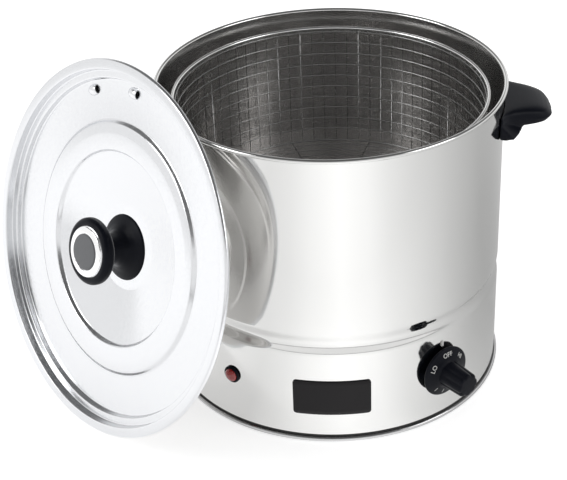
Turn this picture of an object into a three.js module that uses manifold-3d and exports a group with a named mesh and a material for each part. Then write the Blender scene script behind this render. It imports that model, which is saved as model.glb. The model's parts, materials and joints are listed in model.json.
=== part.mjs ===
// A round electric food steamer: a polished steel tank on a control base,
// a lift-out wire basket inside it, and its lid leaning on the rim.
// Millimetres, +Z up. The origin is on the tank's axis, at the surface it stands on.
// The front, with the dial and the name plate, faces -Y. The handles lie along X.

import * as THREE from 'three';
import { mergeVertices } from 'three/addons/utils/BufferGeometryUtils.js';
import Module from 'manifold-3d';

// Shared sizes
const sheet = 1; // stainless sheet of the tank, the lid and the base pan
const gap = 0.3; // kept between pieces that touch
const cutOverrun = 2; // how far a cutting solid runs past what it cuts
const roundSides = 36; // facets of the large round pieces
const discSides = 24; // facets of the knob's pieces
const smallSides = 14; // facets of the small round pieces
const beadSteps = 6; // facets round a rolled edge

// Tank wall
const wallRadius = 160;
const wallFoot = 10.5; // lower edge of the wall
const rimHeight = 296; // middle of the rolled rim
const rimBeadRadius = 2.1;
const swageHeight = 108; // middle of the groove that carries the tank floor
const swageHalfWidth = 12.5;
const swageDepth = 3;
const swageSteps = 3;

// Tank floor
const floorDrop = 6; // underside of the floor below the middle of the groove
const floorFlangeRise = 12; // height of its upturned edge
const floorCorner = 4;

// Base pan with its rolled chrome edge, the gasket on it and the feet under it
const panBeadRadius = 2.7;
const panBeadRise = 0.9; // clear under the rolled edge
const panFlatRise = 3.5; // clear under the pan's flat ring
const padRise = 1.5; // clear under the pressed pad in the middle
const padInset = 70; // edge of the pad inside the wall
const padDraft = 3;
const spigotHeight = 16; // top of the ring that stands inside the wall
const spigotClearance = 0.5;
const gasketProud = 0.7;
const footRadius = 10;
const footInset = 38; // middle of a foot inside the wall
const footDraft = 1;
const footAnglesDeg = [45, 135, 225, 315];

// Tabs inside the wall and the screws that hold the pan to them
const tabAnglesDeg = [0, 120, 240];
const tabSpanDeg = 5;
const tabThickness = 1.5;
const tabLow = 18;
const tabHigh = 38;
const tabReach = 18;
const panScrewInset = 13; // inside the wall
const panScrewRadius = 2;
const panScrewHeadRadius = 3.8;
const panScrewHeadHeight = 1.6;
const panScrewEnd = 25;

// Side handles, moulded, with a steel bracket inside
const handleAnglesDeg = { right: 90, left: 270 };
const handleDrop = 20.3; // top face where it meets the wall, below the rim's middle
const handleReach = 44;
const handleHalfSpanDeg = 17.6;
const handleDroop = 3; // how far the top falls towards the outer edge
const handleThinEdge = 17.3; // thickness at the wall
const handleThickEdge = 18.1; // thickness at the outer edge
const handleRootReach = 1; // reach at the two ends of the span
const handleColumns = 14;
const earHalfShare = 0.56; // of the half span, where the ear's reach has halved
const earPower = 6; // how sharply it falls there
const droopPower = 2;
const earFaceShares = [0, 0.45, 0.85]; // of the reach, where the faces bend
const blockHalfSpanDeg = 18.6;
const blockTall = 27; // lower end of the block below the handle's top
const blockTopReach = 18.6;
const blockLowReach = 8;
const blockEndRise = 7; // how far its lower end rises at the two ends of its span
const blockEndPower = 4; // how sharply it rises there
const blockColumns = 6;
const bracketHalfSpanDeg = 8;
const bracketThickness = 2;
const bracketRise = 5; // above the block's lower end
const bracketTall = 14;
const bracketTongueRise = 6; // above the bracket's lower end
const bracketTongueReach = 11;
const handleScrewReach = 6; // distance of the screw from the wall
const handleScrewRadius = 1.8;
const handleScrewHeadRadius = 3.4;
const handleScrewHeadHeight = 2;
const handleScrewSink = 2.6;
const handleScrewTip = 5; // length of the screw above the tongue

// Control dial, its shaft and the energy regulator behind it
const dialAzimuthDeg = 38;
const dialHeight = 58;
const dialStandoff = 3.4; // back of the skirt to the wall
const skirtRadius = 25;
const skirtEdge = 2.6;
const skirtRise = 6.6; // skirt's height where the grip starts
const gripRootRadius = 14.5;
const gripRadius = 12.6;
const gripTipRadius = 11.6;
const gripLength = 27;
const gripRound = 1.6;
const fluteCount = 8;
const fluteDepth = 0.8;
const dialSides = 40;
const shaftRadius = 3;
const shaftFlat = 1.9; // axis to the flat of the shaft
const shaftLength = 32;
const shaftIntoDial = 16;
const regulatorWidth = 40;
const regulatorHeight = 44;
const regulatorDepth = 30;
const regulatorSetback = 5; // front of the regulator behind the outside of the wall
const bushRadius = 5;
const bushProud = 1.8; // end of the bush outside the wall
const regulatorScrewSpacing = 30;
const regulatorScrewRadius = 1.7;
const regulatorScrewHeadRadius = 3.2;
const regulatorScrewHeadHeight = 1.6;
const regulatorScrewDepth = 9; // length inside the wall's outer face
const indexWidth = 2.4;
const indexHeight = 5;
const indexThickness = 0.8;

// Pilot lamp
const pilotAzimuthDeg = -36.6;
const pilotHeight = 57;
const bezelRadius = 8.5;
const bezelHeight = 2.2;
const bezelLip = 1.5;
const lensRadius = 6.4;
const lensHeight = 3.4;
const pilotBodyRadius = 5.6;
const pilotBodyLength = 26;

// Name plate, left bare
const plateAzimuthDeg = -1.2;
const plateHeight = 50.5;
const plateWidth = 72;
const plateTall = 37;
const plateThickness = 0.8;
const plateCorner = 3;
const plateColumns = 8;

// Heating element under the tank floor
const spreaderInset = 64; // inside the wall
const spreaderThickness = 4;
const elementInset = 22; // middle of its ring inside the spreader's edge
const elementTube = 3.6;
const elementOpenDeg = 30; // gap of the ring between its two ends
const elementBend = 11;
const elementTailDrop = 20;
const elementSides = 6;
const elementSteps = 36;
const elementTurns = 16; // points of its ring
const clampInset = 8; // its ends inside the spreader's edge
const clampWidth = 22;
const clampThickness = 2;
const studRadius = 3;
const studEnd = 9; // length under the clamp
const nutAcross = 10;
const nutHeight = 4.5;

// Boil-dry cut-out with its reset button, at the back
const cutoutAzimuthDeg = 150;
const cutoutHeight = 48;
const cutoutWidth = 26;
const cutoutTall = 30;
const cutoutDepth = 18;
const cutoutSetback = 3.4;
const neckRadius = 5;
const neckProud = 6;
const neckNutAcross = 15;
const neckNutHeight = 3;
const buttonRadius = 2.8;
const buttonProud = 2.6; // clear of the neck
const buttonDepth = 9; // inside the neck
const buttonTravel = 1.5;

// Cord inlet at the back
const glandAzimuthDeg = 180;
const glandHeight = 42;
const glandThreadRadius = 8;
const glandBore = 4;
const glandAcross = 22;
const glandCollar = 5;
const glandDome = 13;
const glandMouthRadius = 6.6;
const glandInside = 9; // thread inside the wall
const glandNutAcross = 22;
const glandNutHeight = 4;

// Terminal block and the wires in the base
const blockLength = 44;
const blockDepth = 20;
const blockHeight = 15;
const blockWays = 4;
const blockSlot = 6;
const blockSlotDepth = 5;
const blockSetback = 88; // middle of the block from the back wall
const wireRadius = 1.4;
const wireSides = 6;
const wireSteps = 10;
const wireLead = 26; // straight start of a wire

// Wire basket
const basketRimInset = 14; // inside the tank wall's outer face
const basketRimWire = 1.9;
const basketRimDrop = 13; // below the tank's rim
const basketMeshInset = 2.4; // inside of the mesh, inside the middle of the rim wire
const basketWire = 1.6; // thickness of the mesh
const basketFloorRise = 55; // above the tank floor
const basketRows = 4;
const basketSpokes = 11;
const basketRings = 3;
const basketHub = 14;
const basketLegAnglesDeg = [60, 180, 300];
const basketLegRadius = 2.6;

// Lid, measured from the top of its rolled edge
const lidOverhang = 15.3; // edge outside the tank wall
const lidBeadRadius = 2.4;
const lidEdgeWidth = 10; // the rolled edge and the flat beside it
const lidSeatDrop = 7.3; // the step from there to the seat
const lidStepDraft = 0.7;
const lidWallInset = 1.6; // its drop-in wall inside the tank wall
const lidWallDrop = 12.5;
const lidWallDraft = 1;
const lidRingInset = 38.4; // outside of the raised ring inside the drop-in wall
const lidRingWidth = 29;
const lidRingRise = 3.5;
const lidRingRamp = 11; // its gentle outer slope
const lidRingSlope = 2;
const lidSlopeDrop = 1; // fall of the flat ring towards the raised one
const lidDishRadius = 40;
const lidDishDrop = 25;
const ventInset = 9.6; // middle of a vent inside the drop-in wall
const ventAnglesDeg = [-27, -3]; // from the lid's top, to its left as its face is seen
const ventHalfLength = 8;
const ventHalfWidth = 5.5;
const ventRise = 4;
const ventMouthShare = 0.4; // where the hood ends, of its half length
const lidLeanDeg = 16.5; // from upright
const lidAzimuthDeg = -48.9; // where its face looks
const lidSidewaysShare = -0.42; // of the lid's radius, along its face

// Knob of the lid
const knobDiscRadius = 31.2;
const knobBaseRadius = 31.2;
const knobWaistRadius = 15;
const knobBaseHeight = 5;
const knobHeight = 44;
const knobDiscHeight = 12;
const knobRound = 3;
const knobRecessRadius = 23.7;
const knobRecessDepth = 3.5;
const knobRingWidth = 6;
const knobRingProud = 2.2;
const knobCapDome = 1;
const knobBoltRadius = 3;
const knobBoltDepth = 20;
const knobBoltHeadRadius = 6;
const knobBoltHeadHeight = 3.4;
const washerRadius = 11;
const washerThickness = 1.5;

// Sizes that follow from those above
const wallInside = wallRadius - sheet;
const floorUnder = swageHeight - floorDrop;
const floorTop = floorUnder + sheet;
const panTop = panFlatRise + sheet;
const panBeadHeight = panBeadRise + panBeadRadius;
const padRadius = wallRadius - padInset;
const footCircle = wallRadius - footInset;
const panScrewCircle = wallRadius - panScrewInset;
const handleTop = rimHeight - handleDrop;
const blockLow = handleTop - blockTall;
const bracketLow = blockLow + bracketRise;
const bracketHigh = bracketLow + bracketTall;
const bracketTongueHeight = bracketLow + bracketTongueRise;
const spreaderRadius = wallRadius - spreaderInset;
const elementRing = spreaderRadius - elementInset;
const clampLength = 2 * (spreaderRadius - clampInset);
const basketRimRadius = wallRadius - basketRimInset;
const basketRimHeight = rimHeight - basketRimDrop;
const basketWallRadius = basketRimRadius - basketMeshInset;
const basketFloorHeight = floorTop + basketFloorRise;
const lidRadius = wallRadius + lidOverhang;
const lidWallRadius = wallInside - lidWallInset;
const lidRingOuter = lidWallRadius - lidRingInset;
const lidRingInner = lidRingOuter - lidRingWidth;
const ventRadius = lidWallRadius - ventInset;
const basketColumns = 2 * basketSpokes; // a floor wire meets every second wall wire
const facetShare = Math.cos(Math.PI / roundSides); // middle of a facet, of its corner's radius

const wasm = await Module();
wasm.setup();

const radians = (degrees) => (degrees * Math.PI) / 180;
const degrees = (angle) => (angle * 180) / Math.PI;

function material(color, roughness, metalness) {
  return () => new THREE.MeshStandardMaterial({ color, roughness, metalness });
}

const polishedSteel = material(0xc9c8c5, 0.16, 1);
const satinSteel = material(0xb4b4b2, 0.34, 1);
const zincSteel = material(0xa9adb0, 0.42, 1);
const chrome = material(0xd6d8da, 0.07, 1);
const basketSteel = material(0xc4c5c4, 0.2, 1);
const blackPlastic = material(0x1b1c1e, 0.42, 0);
const darkGreyPlastic = material(0x3a3c3f, 0.5, 0);
const blackRubber = material(0x151515, 0.75, 0);
const redLens = material(0xa3221f, 0.22, 0);
const castAluminium = material(0xa5a7a9, 0.5, 1);
const brass = material(0xb79a55, 0.35, 1);
const ivoryPlastic = material(0xd9d4c4, 0.5, 0);
const indexWhite = material(0xe8e8e4, 0.5, 0);
const redWire = material(0x8c3a30, 0.55, 0);

const root = new THREE.Group();

function add(parent, name, geometry, makeMaterial) {
  const mesh = new THREE.Mesh(geometry, makeMaterial());
  mesh.name = name;
  parent.add(mesh);
  return mesh;
}

function evenly(from, to, count) {
  return Array.from({ length: count + 1 }, (unused, i) => from + ((to - from) * i) / count);
}

// Closed geometries

function closed(geometry) {
  const bare = new THREE.BufferGeometry();
  bare.setAttribute('position', geometry.getAttribute('position').clone());
  if (geometry.index) bare.setIndex(geometry.index.clone());
  const merged = mergeVertices(bare);
  const corners = merged.index.array;
  const kept = [];
  for (let i = 0; i < corners.length; i += 3) {
    const [a, b, c] = corners.slice(i, i + 3);
    if (a !== b && b !== c && c !== a) kept.push(a, b, c);
  }
  merged.setIndex(kept);
  return merged;
}

function outward(geometry) {
  const place = geometry.getAttribute('position');
  const corners = geometry.index.array;
  const [a, b, c] = [new THREE.Vector3(), new THREE.Vector3(), new THREE.Vector3()];
  let volume = 0;
  for (let i = 0; i < corners.length; i += 3) {
    a.fromBufferAttribute(place, corners[i]);
    b.fromBufferAttribute(place, corners[i + 1]);
    c.fromBufferAttribute(place, corners[i + 2]);
    volume += a.dot(b.cross(c));
  }
  if (volume < 0) geometry.setIndex(Array.from(corners).reverse());
  return geometry;
}

function solidOf(geometry) {
  const whole = closed(geometry);
  const vertProperties = Float32Array.from(whole.getAttribute('position').array);
  const triVerts = Uint32Array.from(whole.index.array);
  return new wasm.Manifold(new wasm.Mesh({ numProp: 3, vertProperties, triVerts }));
}

function geometryOf(solid) {
  const { vertProperties, triVerts } = solid.getMesh();
  const geometry = new THREE.BufferGeometry();
  geometry.setAttribute('position', new THREE.Float32BufferAttribute(vertProperties, 3));
  geometry.setIndex(Array.from(triVerts));
  return geometry;
}

function cut(geometry, ...tools) {
  const rest = tools.reduce((solid, tool) => solid.subtract(solidOf(tool)), solidOf(geometry));
  return geometryOf(rest);
}

function join(geometry, ...others) {
  const whole = others.reduce((solid, other) => solid.add(solidOf(other)), solidOf(geometry));
  return geometryOf(whole);
}

// A profile of [radius, height] pairs turned round the Z axis. It starts and ends
// on the axis, or it is a loop.
function revolve(profile, sides = roundSides) {
  const points = profile.map(([radius, height]) => new THREE.Vector2(radius, height));
  if (THREE.ShapeUtils.isClockWise(points)) points.reverse();
  const onAxis = points[0].x === 0 && points[points.length - 1].x === 0;
  if (!onAxis) points.push(points[0].clone());
  const lathe = new THREE.LatheGeometry(points, sides);
  lathe.rotateX(Math.PI / 2);
  return closed(lathe);
}

function cylinder(radius, from, to, sides = smallSides) {
  return revolve([[0, from], [radius, from], [radius, to], [0, to]], sides);
}

function tube(inner, outer, from, to, sides = smallSides) {
  return revolve([[inner, from], [outer, from], [outer, to], [inner, to]], sides);
}

function hexagon(across, from, to) {
  const cornerRadius = across / (2 * Math.cos(Math.PI / 6));
  return revolve([[0, from], [cornerRadius, from], [cornerRadius, to], [0, to]], 6);
}

function box(width, depth, height, x = 0, y = 0, z = 0) {
  const geometry = new THREE.BoxGeometry(width, depth, height);
  geometry.translate(x, y, z);
  return geometry;
}

function arcPoints(centreRadius, centreHeight, radius, fromDeg, toDeg, steps) {
  return Array.from({ length: steps + 1 }, (unused, i) => {
    const angle = radians(fromDeg + ((toDeg - fromDeg) * i) / steps);
    return [centreRadius + radius * Math.cos(angle), centreHeight + radius * Math.sin(angle)];
  });
}

// From the edge of a dome to its top, on the axis.
function domeLine(radius, height, rise) {
  return evenly(0, Math.PI / 2, 3).map((angle, i, angles) =>
    [i + 1 < angles.length ? radius * Math.cos(angle) : 0, height + rise * Math.sin(angle)]);
}

// The other face of a sheet: the same line moved to its left by the thickness.
function offsetLine(line, distance) {
  const along = line.slice(1).map((point, i) => {
    const step = new THREE.Vector2(point[0] - line[i][0], point[1] - line[i][1]);
    return step.normalize();
  });
  return line.map(([radius, height], i) => {
    const before = along[Math.max(i - 1, 0)];
    const after = along[Math.min(i, along.length - 1)];
    const middle = before.clone().add(after).normalize();
    const reach = distance / middle.dot(after);
    return [Math.max(radius - middle.y * reach, 0), height + middle.x * reach];
  });
}

// Triangles that fill a flat outline, each turning the way the outline does.
function filled(outline) {
  const clockwise = THREE.ShapeUtils.isClockWise(outline);
  return THREE.ShapeUtils.triangulateShape(outline, []).map(([a, b, c]) => {
    const same = THREE.ShapeUtils.isClockWise([outline[a], outline[b], outline[c]]) === clockwise;
    return same ? [a, b, c] : [c, b, a];
  });
}

// Rows of points joined into one skin, its two ends closed. flatten gives the
// plane in which the ends are triangulated.
function skin(rows, flatten) {
  const count = rows[0].length;
  const points = rows.flat();
  const corners = [];
  for (let row = 0; row + 1 < rows.length; row += 1) {
    for (let i = 0; i < count; i += 1) {
      const a = row * count + i;
      const b = row * count + ((i + 1) % count);
      corners.push(a, b, b + count, a, b + count, a + count);
    }
  }
  const lastStart = (rows.length - 1) * count;
  filled(rows[0].map(flatten)).forEach(([a, b, c]) => corners.push(c, b, a));
  filled(rows[rows.length - 1].map(flatten)).forEach(([a, b, c]) => {
    corners.push(lastStart + a, lastStart + b, lastStart + c);
  });
  const geometry = new THREE.BufferGeometry().setFromPoints(points);
  geometry.setIndex(corners);
  return outward(closed(geometry));
}

function atAzimuth(azimuthDeg, radius, height) {
  const angle = radians(azimuthDeg);
  return new THREE.Vector3(radius * Math.sin(angle), -radius * Math.cos(angle), height);
}

// A section of [radius, height] pairs that changes with the azimuth it is swept to.
function sweepAround(sectionAt, fromDeg, toDeg, columns) {
  const rows = [];
  for (let i = 0; i <= columns; i += 1) {
    const azimuthDeg = fromDeg + ((toDeg - fromDeg) * i) / columns;
    rows.push(sectionAt(azimuthDeg).map(([radius, height]) => atAzimuth(azimuthDeg, radius, height)));
  }
  const middle = radians((fromDeg + toDeg) / 2);
  const flatten = (point) =>
    new THREE.Vector2(point.x * Math.sin(middle) - point.y * Math.cos(middle), point.z);
  return skin(rows, flatten);
}

// A sheet with a grid of openings. lines are the azimuths of the bars along it,
// turnAt gives half a bar's width as an angle, and positions are the edges of the
// bars across it. place turns an azimuth, a position and a face (0 or 1) into a point.
function lattice(lines, positions, turnAt, place) {
  const wrap = 2 * lines.length;
  const number = (a, b, face) => ((a % wrap) * positions.length + b) * 2 + face;
  const points = lines.flatMap((line) => [-1, 1].flatMap((side) =>
    positions.flatMap((position) =>
      [0, 1].map((face) => place(line + side * turnAt(position), position, face)))));
  const open = (a, b) => b < 0 || b >= positions.length - 1 || (a % 2 === 1 && b % 2 === 1);
  const corners = [];
  const quad = (p, q, r, s) => corners.push(p, q, r, p, r, s);
  for (let a = 0; a < wrap; a += 1) {
    for (let b = 0; b + 1 < positions.length; b += 1) {
      if (open(a, b)) continue;
      const [p0, p1] = [number(a, b, 0), number(a, b, 1)];
      const [q0, q1] = [number(a + 1, b, 0), number(a + 1, b, 1)];
      const [r0, r1] = [number(a + 1, b + 1, 0), number(a + 1, b + 1, 1)];
      const [s0, s1] = [number(a, b + 1, 0), number(a, b + 1, 1)];
      quad(p1, q1, r1, s1);
      quad(p0, s0, r0, q0);
      if (open(a, b - 1)) quad(p0, q0, q1, p1);
      if (open(a, b + 1)) quad(s1, r1, r0, s0);
      if (open((a + wrap - 1) % wrap, b)) quad(p1, s1, s0, p0);
      if (open((a + 1) % wrap, b)) quad(q0, r0, r1, q1);
    }
  }
  const geometry = new THREE.BufferGeometry().setFromPoints(points);
  geometry.setIndex(corners);
  return outward(closed(geometry));
}

// Bars of a given width centred on evenly spaced lines, as pairs of edges.
function barEdges(lines, halfWidth) {
  return lines.flatMap((line) => [line - halfWidth, line + halfWidth]);
}

function along(curve, radius, sides, steps) {
  const corners = Array.from({ length: sides }, (unused, i) => {
    const angle = (2 * Math.PI * i) / sides;
    return new THREE.Vector2(radius * Math.cos(angle), radius * Math.sin(angle));
  });
  const options = { steps, extrudePath: curve, bevelEnabled: false };
  return outward(closed(new THREE.ExtrudeGeometry(new THREE.Shape(corners), options)));
}

function prism(shape, from, to) {
  const geometry = new THREE.ExtrudeGeometry(shape, { depth: to - from, bevelEnabled: false });
  geometry.translate(0, 0, from);
  return outward(closed(geometry));
}

// A group on the tank wall: its Z axis points straight out, its Y axis up, and
// its origin lies on the wall's outer face.
function mountOnWall(azimuthDeg, height) {
  const group = new THREE.Group();
  const out = atAzimuth(azimuthDeg, 1, 0);
  const up = new THREE.Vector3(0, 0, 1);
  const side = up.clone().cross(out);
  group.quaternion.setFromRotationMatrix(new THREE.Matrix4().makeBasis(side, up, out));
  group.position.copy(atAzimuth(azimuthDeg, wallRadius, height));
  root.add(group);
  return group;
}

// A cutting solid made in the frame of such a group, moved into the tank's frame.
function inTankFrame(group, geometry) {
  group.updateMatrix();
  return geometry.clone().applyMatrix4(group.matrix);
}

// The tank wall with its rolled rim and its groove

function swageLine(inward) {
  return Array.from({ length: 2 * swageSteps + 1 }, (unused, i) => {
    const share = i / swageSteps - 1;
    const depth = (swageDepth * (1 + Math.cos(Math.PI * share))) / 2;
    return [wallRadius - inward - depth, swageHeight + swageHalfWidth * share];
  });
}

const rimCentre = wallInside + rimBeadRadius;

function tankWallSolid() {
  const beadStartDeg = degrees(Math.acos((rimBeadRadius - sheet) / rimBeadRadius)) - 180;
  return revolve([
    [wallRadius, wallFoot],
    ...swageLine(0),
    ...arcPoints(rimCentre, rimHeight, rimBeadRadius, beadStartDeg, 180, beadSteps),
    ...swageLine(sheet).reverse(),
    [wallInside, wallFoot],
  ]);
}

// Local height, on a wall mount, of the foremost plane inside the wall that a
// piece of this half width can have.
function insideFace(halfWidth) {
  return Math.sqrt((wallInside * facetShare) ** 2 - halfWidth ** 2) - wallRadius - gap;
}

const dialMount = mountOnWall(dialAzimuthDeg, dialHeight);
const pilotMount = mountOnWall(pilotAzimuthDeg, pilotHeight);
const cutoutMount = mountOnWall(cutoutAzimuthDeg, cutoutHeight);
const glandMount = mountOnWall(glandAzimuthDeg, glandHeight);
const regulatorScrewPlaces = [regulatorScrewSpacing / 2, -regulatorScrewSpacing / 2];

function wallHole(group, radius, up = 0) {
  const drill = cylinder(radius + gap, -sheet - cutOverrun, cutOverrun);
  drill.translate(0, up, 0);
  return inTankFrame(group, drill);
}

add(root, 'tank_wall', cut(
  tankWallSolid(),
  wallHole(dialMount, bushRadius),
  ...regulatorScrewPlaces.map((up) => wallHole(dialMount, regulatorScrewRadius, up)),
  wallHole(pilotMount, pilotBodyRadius),
  wallHole(cutoutMount, neckRadius),
  wallHole(glandMount, glandThreadRadius),
), polishedSteel);

// The tank floor, seated in the groove

const floorRadius = (wallInside - swageDepth) * facetShare - gap;
add(root, 'tank_floor', revolve([
  [0, floorUnder],
  [floorRadius - floorCorner, floorUnder],
  [floorRadius, floorUnder + floorCorner],
  [floorRadius, floorUnder + floorFlangeRise],
  [floorRadius - sheet, floorUnder + floorFlangeRise],
  [floorRadius - sheet, floorTop + floorCorner],
  [floorRadius - floorCorner - sheet, floorTop],
  [0, floorTop],
]), satinSteel);

// The base pan, its gasket, feet, tabs and screws

const spigotRadius = wallInside * facetShare - spigotClearance;

function panSolid() {
  return revolve([
    [0, padRise],
    [padRadius, padRise],
    [padRadius + padDraft, panFlatRise],
    ...arcPoints(wallRadius, panBeadHeight, panBeadRadius, -180, 90, beadSteps),
    [spigotRadius, panBeadHeight + panBeadRadius],
    [spigotRadius, spigotHeight],
    [spigotRadius - sheet, spigotHeight],
    [spigotRadius - sheet, panTop],
    [padRadius + padDraft, panTop],
    [padRadius, padRise + sheet],
    [0, padRise + sheet],
  ]);
}

function uprightHole(azimuthDeg, circle, radius, from, to) {
  const drill = cylinder(radius + gap, from - cutOverrun, to + cutOverrun);
  const place = atAzimuth(azimuthDeg, circle, 0);
  drill.translate(place.x, place.y, 0);
  return drill;
}

add(root, 'base_pan', cut(
  panSolid(),
  ...tabAnglesDeg.map((azimuthDeg) =>
    uprightHole(azimuthDeg, panScrewCircle, panScrewRadius, panFlatRise, panTop)),
), chrome);

const gasketLow = panBeadHeight + panBeadRadius + gap;
add(root, 'base_gasket',
  tube(spigotRadius + gap, wallRadius + gasketProud, gasketLow, wallFoot - gap, roundSides),
  blackRubber);

footAnglesDeg.forEach((azimuthDeg, i) => {
  const foot = add(root, `foot_${i + 1}`, revolve([
    [0, 0],
    [footRadius - footDraft, 0],
    [footRadius, footDraft],
    [footRadius, panFlatRise - gap],
    [0, panFlatRise - gap],
  ], smallSides), blackRubber);
  foot.position.copy(atAzimuth(azimuthDeg, footCircle, 0));
});

const tabOuter = wallInside * facetShare - gap;
const tabInner = tabOuter - tabThickness;
tabAnglesDeg.forEach((azimuthDeg, i) => {
  const tab = sweepAround(() => [
    [tabOuter, tabLow],
    [tabOuter, tabHigh],
    [tabInner, tabHigh],
    [tabInner, tabLow + tabThickness],
    [tabOuter - tabReach, tabLow + tabThickness],
    [tabOuter - tabReach, tabLow],
  ], azimuthDeg - tabSpanDeg, azimuthDeg + tabSpanDeg, 2);
  const hole = uprightHole(azimuthDeg, panScrewCircle, panScrewRadius, tabLow, tabLow + tabThickness);
  add(root, `base_tab_${i + 1}`, cut(tab, hole), satinSteel);

  const headTop = panFlatRise - gap;
  const screw = add(root, `base_screw_${i + 1}`, revolve([
    [0, headTop - panScrewHeadHeight],
    [panScrewHeadRadius, headTop - panScrewHeadHeight],
    [panScrewHeadRadius, headTop],
    [panScrewRadius, headTop],
    [panScrewRadius, panScrewEnd],
    [0, panScrewEnd],
  ], smallSides), zincSteel);
  screw.position.copy(atAzimuth(azimuthDeg, panScrewCircle, 0));
});

// Side handles: a drooping ear and a block under it, moulded as one

const handleFace = wallRadius + gap;

// Reach of the ear from the wall: full in the middle, with a smooth fall to the
// ends of its span.
function earReach(share) {
  const fullness = 1 / (1 + (Math.abs(share) / earHalfShare) ** earPower);
  return handleRootReach + (handleReach - handleRootReach) * fullness;
}

function earSection(share) {
  const reach = earReach(share);
  const topAt = (part) => handleTop - handleDroop * ((part * reach) / handleReach) ** droopPower;
  const thicknessAt = (part) => {
    const out = (part * reach) / handleReach;
    return handleThinEdge + (handleThickEdge - handleThinEdge) * out;
  };
  const upper = earFaceShares.map((part) => [handleFace + part * reach, topAt(part)]);
  const lower = earFaceShares.map((part) =>
    [handleFace + part * reach, topAt(part) - thicknessAt(part)]);
  const edge = topAt(1) - thicknessAt(1) / 2;
  return [...upper, [handleFace + reach, edge], ...lower.reverse()];
}

function blockSection(share) {
  const swell = Math.sqrt(1 - share ** 2 / 2);
  const low = blockLow + blockEndRise * share ** blockEndPower;
  return [
    [handleFace, low],
    [handleFace + blockLowReach * swell, low],
    [handleFace + blockTopReach * swell, handleTop - handleThickEdge],
    [handleFace, handleTop - handleThinEdge / 2],
  ];
}

function bracketSection(extra) {
  const inner = handleFace - extra;
  const face = handleFace + bracketThickness + extra;
  const tongueEnd = handleFace + bracketTongueReach + extra;
  return [
    [inner, bracketLow - extra],
    [face, bracketLow - extra],
    [face, bracketTongueHeight - extra],
    [tongueEnd, bracketTongueHeight - extra],
    [tongueEnd, bracketTongueHeight + bracketThickness + extra],
    [face, bracketTongueHeight + bracketThickness + extra],
    [face, bracketHigh + extra],
    [inner, bracketHigh + extra],
  ];
}

function handleSolid(azimuthDeg) {
  const span = (halfSpan, section, columns) => {
    const sectionAt = (at) => section((at - azimuthDeg) / halfSpan);
    return sweepAround(sectionAt, azimuthDeg - halfSpan, azimuthDeg + halfSpan, columns);
  };
  const ear = span(handleHalfSpanDeg, earSection, handleColumns);
  const block = span(blockHalfSpanDeg, blockSection, blockColumns);
  const marginDeg = degrees(gap / wallRadius);
  const pocket = span(bracketHalfSpanDeg + marginDeg, () => bracketSection(gap), 2);
  const place = atAzimuth(azimuthDeg, handleFace + handleScrewReach, 0);
  const screwHole = cylinder(handleScrewRadius + gap, blockLow - cutOverrun,
    bracketTongueHeight + bracketThickness + handleScrewTip + gap);
  const headHole = cylinder(handleScrewHeadRadius + gap, blockLow - cutOverrun,
    blockLow + handleScrewSink);
  screwHole.translate(place.x, place.y, 0);
  headHole.translate(place.x, place.y, 0);
  return cut(join(ear, block), pocket, screwHole, headHole);
}

Object.entries(handleAnglesDeg).forEach(([side, azimuthDeg]) => {
  add(root, `handle_${side}`, handleSolid(azimuthDeg), blackPlastic);

  const bracket = sweepAround(() => bracketSection(0),
    azimuthDeg - bracketHalfSpanDeg, azimuthDeg + bracketHalfSpanDeg, 2);
  const hole = uprightHole(azimuthDeg, handleFace + handleScrewReach, handleScrewRadius,
    bracketTongueHeight, bracketTongueHeight + bracketThickness);
  add(root, `handle_bracket_${side}`, cut(bracket, hole), satinSteel);

  const headTop = blockLow + handleScrewSink - gap;
  const screw = add(root, `handle_screw_${side}`, revolve([
    [0, headTop - handleScrewHeadHeight],
    [handleScrewHeadRadius, headTop - handleScrewHeadHeight],
    [handleScrewHeadRadius, headTop],
    [handleScrewRadius, headTop],
    [handleScrewRadius, bracketTongueHeight + bracketThickness + handleScrewTip],
    [0, bracketTongueHeight + bracketThickness + handleScrewTip],
  ], smallSides), zincSteel);
  screw.position.copy(atAzimuth(azimuthDeg, handleFace + handleScrewReach, 0));
});

// Control dial, shaft, regulator and index mark

function shaftShape(radius, flat) {
  const turn = Math.acos(flat / radius);
  const shape = new THREE.Shape();
  shape.absarc(0, 0, radius, turn, 2 * Math.PI - turn);
  return new THREE.Shape(shape.getPoints(smallSides / 2));
}

function dialSolid() {
  const gripTop = skirtRise + gripLength;
  const levels = [
    [0, skirtRadius - skirtEdge / 4, 0],
    [skirtEdge / 4, skirtRadius, 0],
    [skirtEdge, skirtRadius, 0],
    [skirtEdge + skirtEdge / 4, skirtRadius - skirtEdge / 2, 0],
    [skirtRise, gripRootRadius, 0],
    [skirtRise + gripRound, gripRadius, 1 / 2],
    [gripTop - gripRound, gripTipRadius, 1],
    [gripTop, gripTipRadius - gripRound, 1 / 2],
  ];
  const rows = levels.map(([height, radius, fluted]) =>
    Array.from({ length: dialSides }, (unused, i) => {
      const turn = (2 * Math.PI * i) / dialSides;
      const groove = (fluteDepth * fluted * (1 + Math.cos(fluteCount * turn))) / 2;
      const at = radius - groove;
      return new THREE.Vector3(at * Math.sin(turn), at * Math.cos(turn), height);
    }));
  const body = skin(rows, (point) => new THREE.Vector2(point.x, point.y));
  body.translate(0, 0, dialStandoff);
  const bore = prism(shaftShape(shaftRadius + gap, shaftFlat + gap),
    dialStandoff - cutOverrun, dialStandoff + shaftIntoDial + gap);
  return cut(body, bore);
}

add(dialMount, 'control_dial', dialSolid(), blackPlastic);

const shaftEnd = dialStandoff + shaftIntoDial;
add(dialMount, 'regulator_shaft',
  prism(shaftShape(shaftRadius, shaftFlat), shaftEnd - shaftLength, shaftEnd), brass);

function regulatorScrewHole(up) {
  const drill = cylinder(regulatorScrewRadius + gap, -regulatorScrewDepth - gap, cutOverrun);
  drill.translate(0, up, 0);
  return drill;
}

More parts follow.
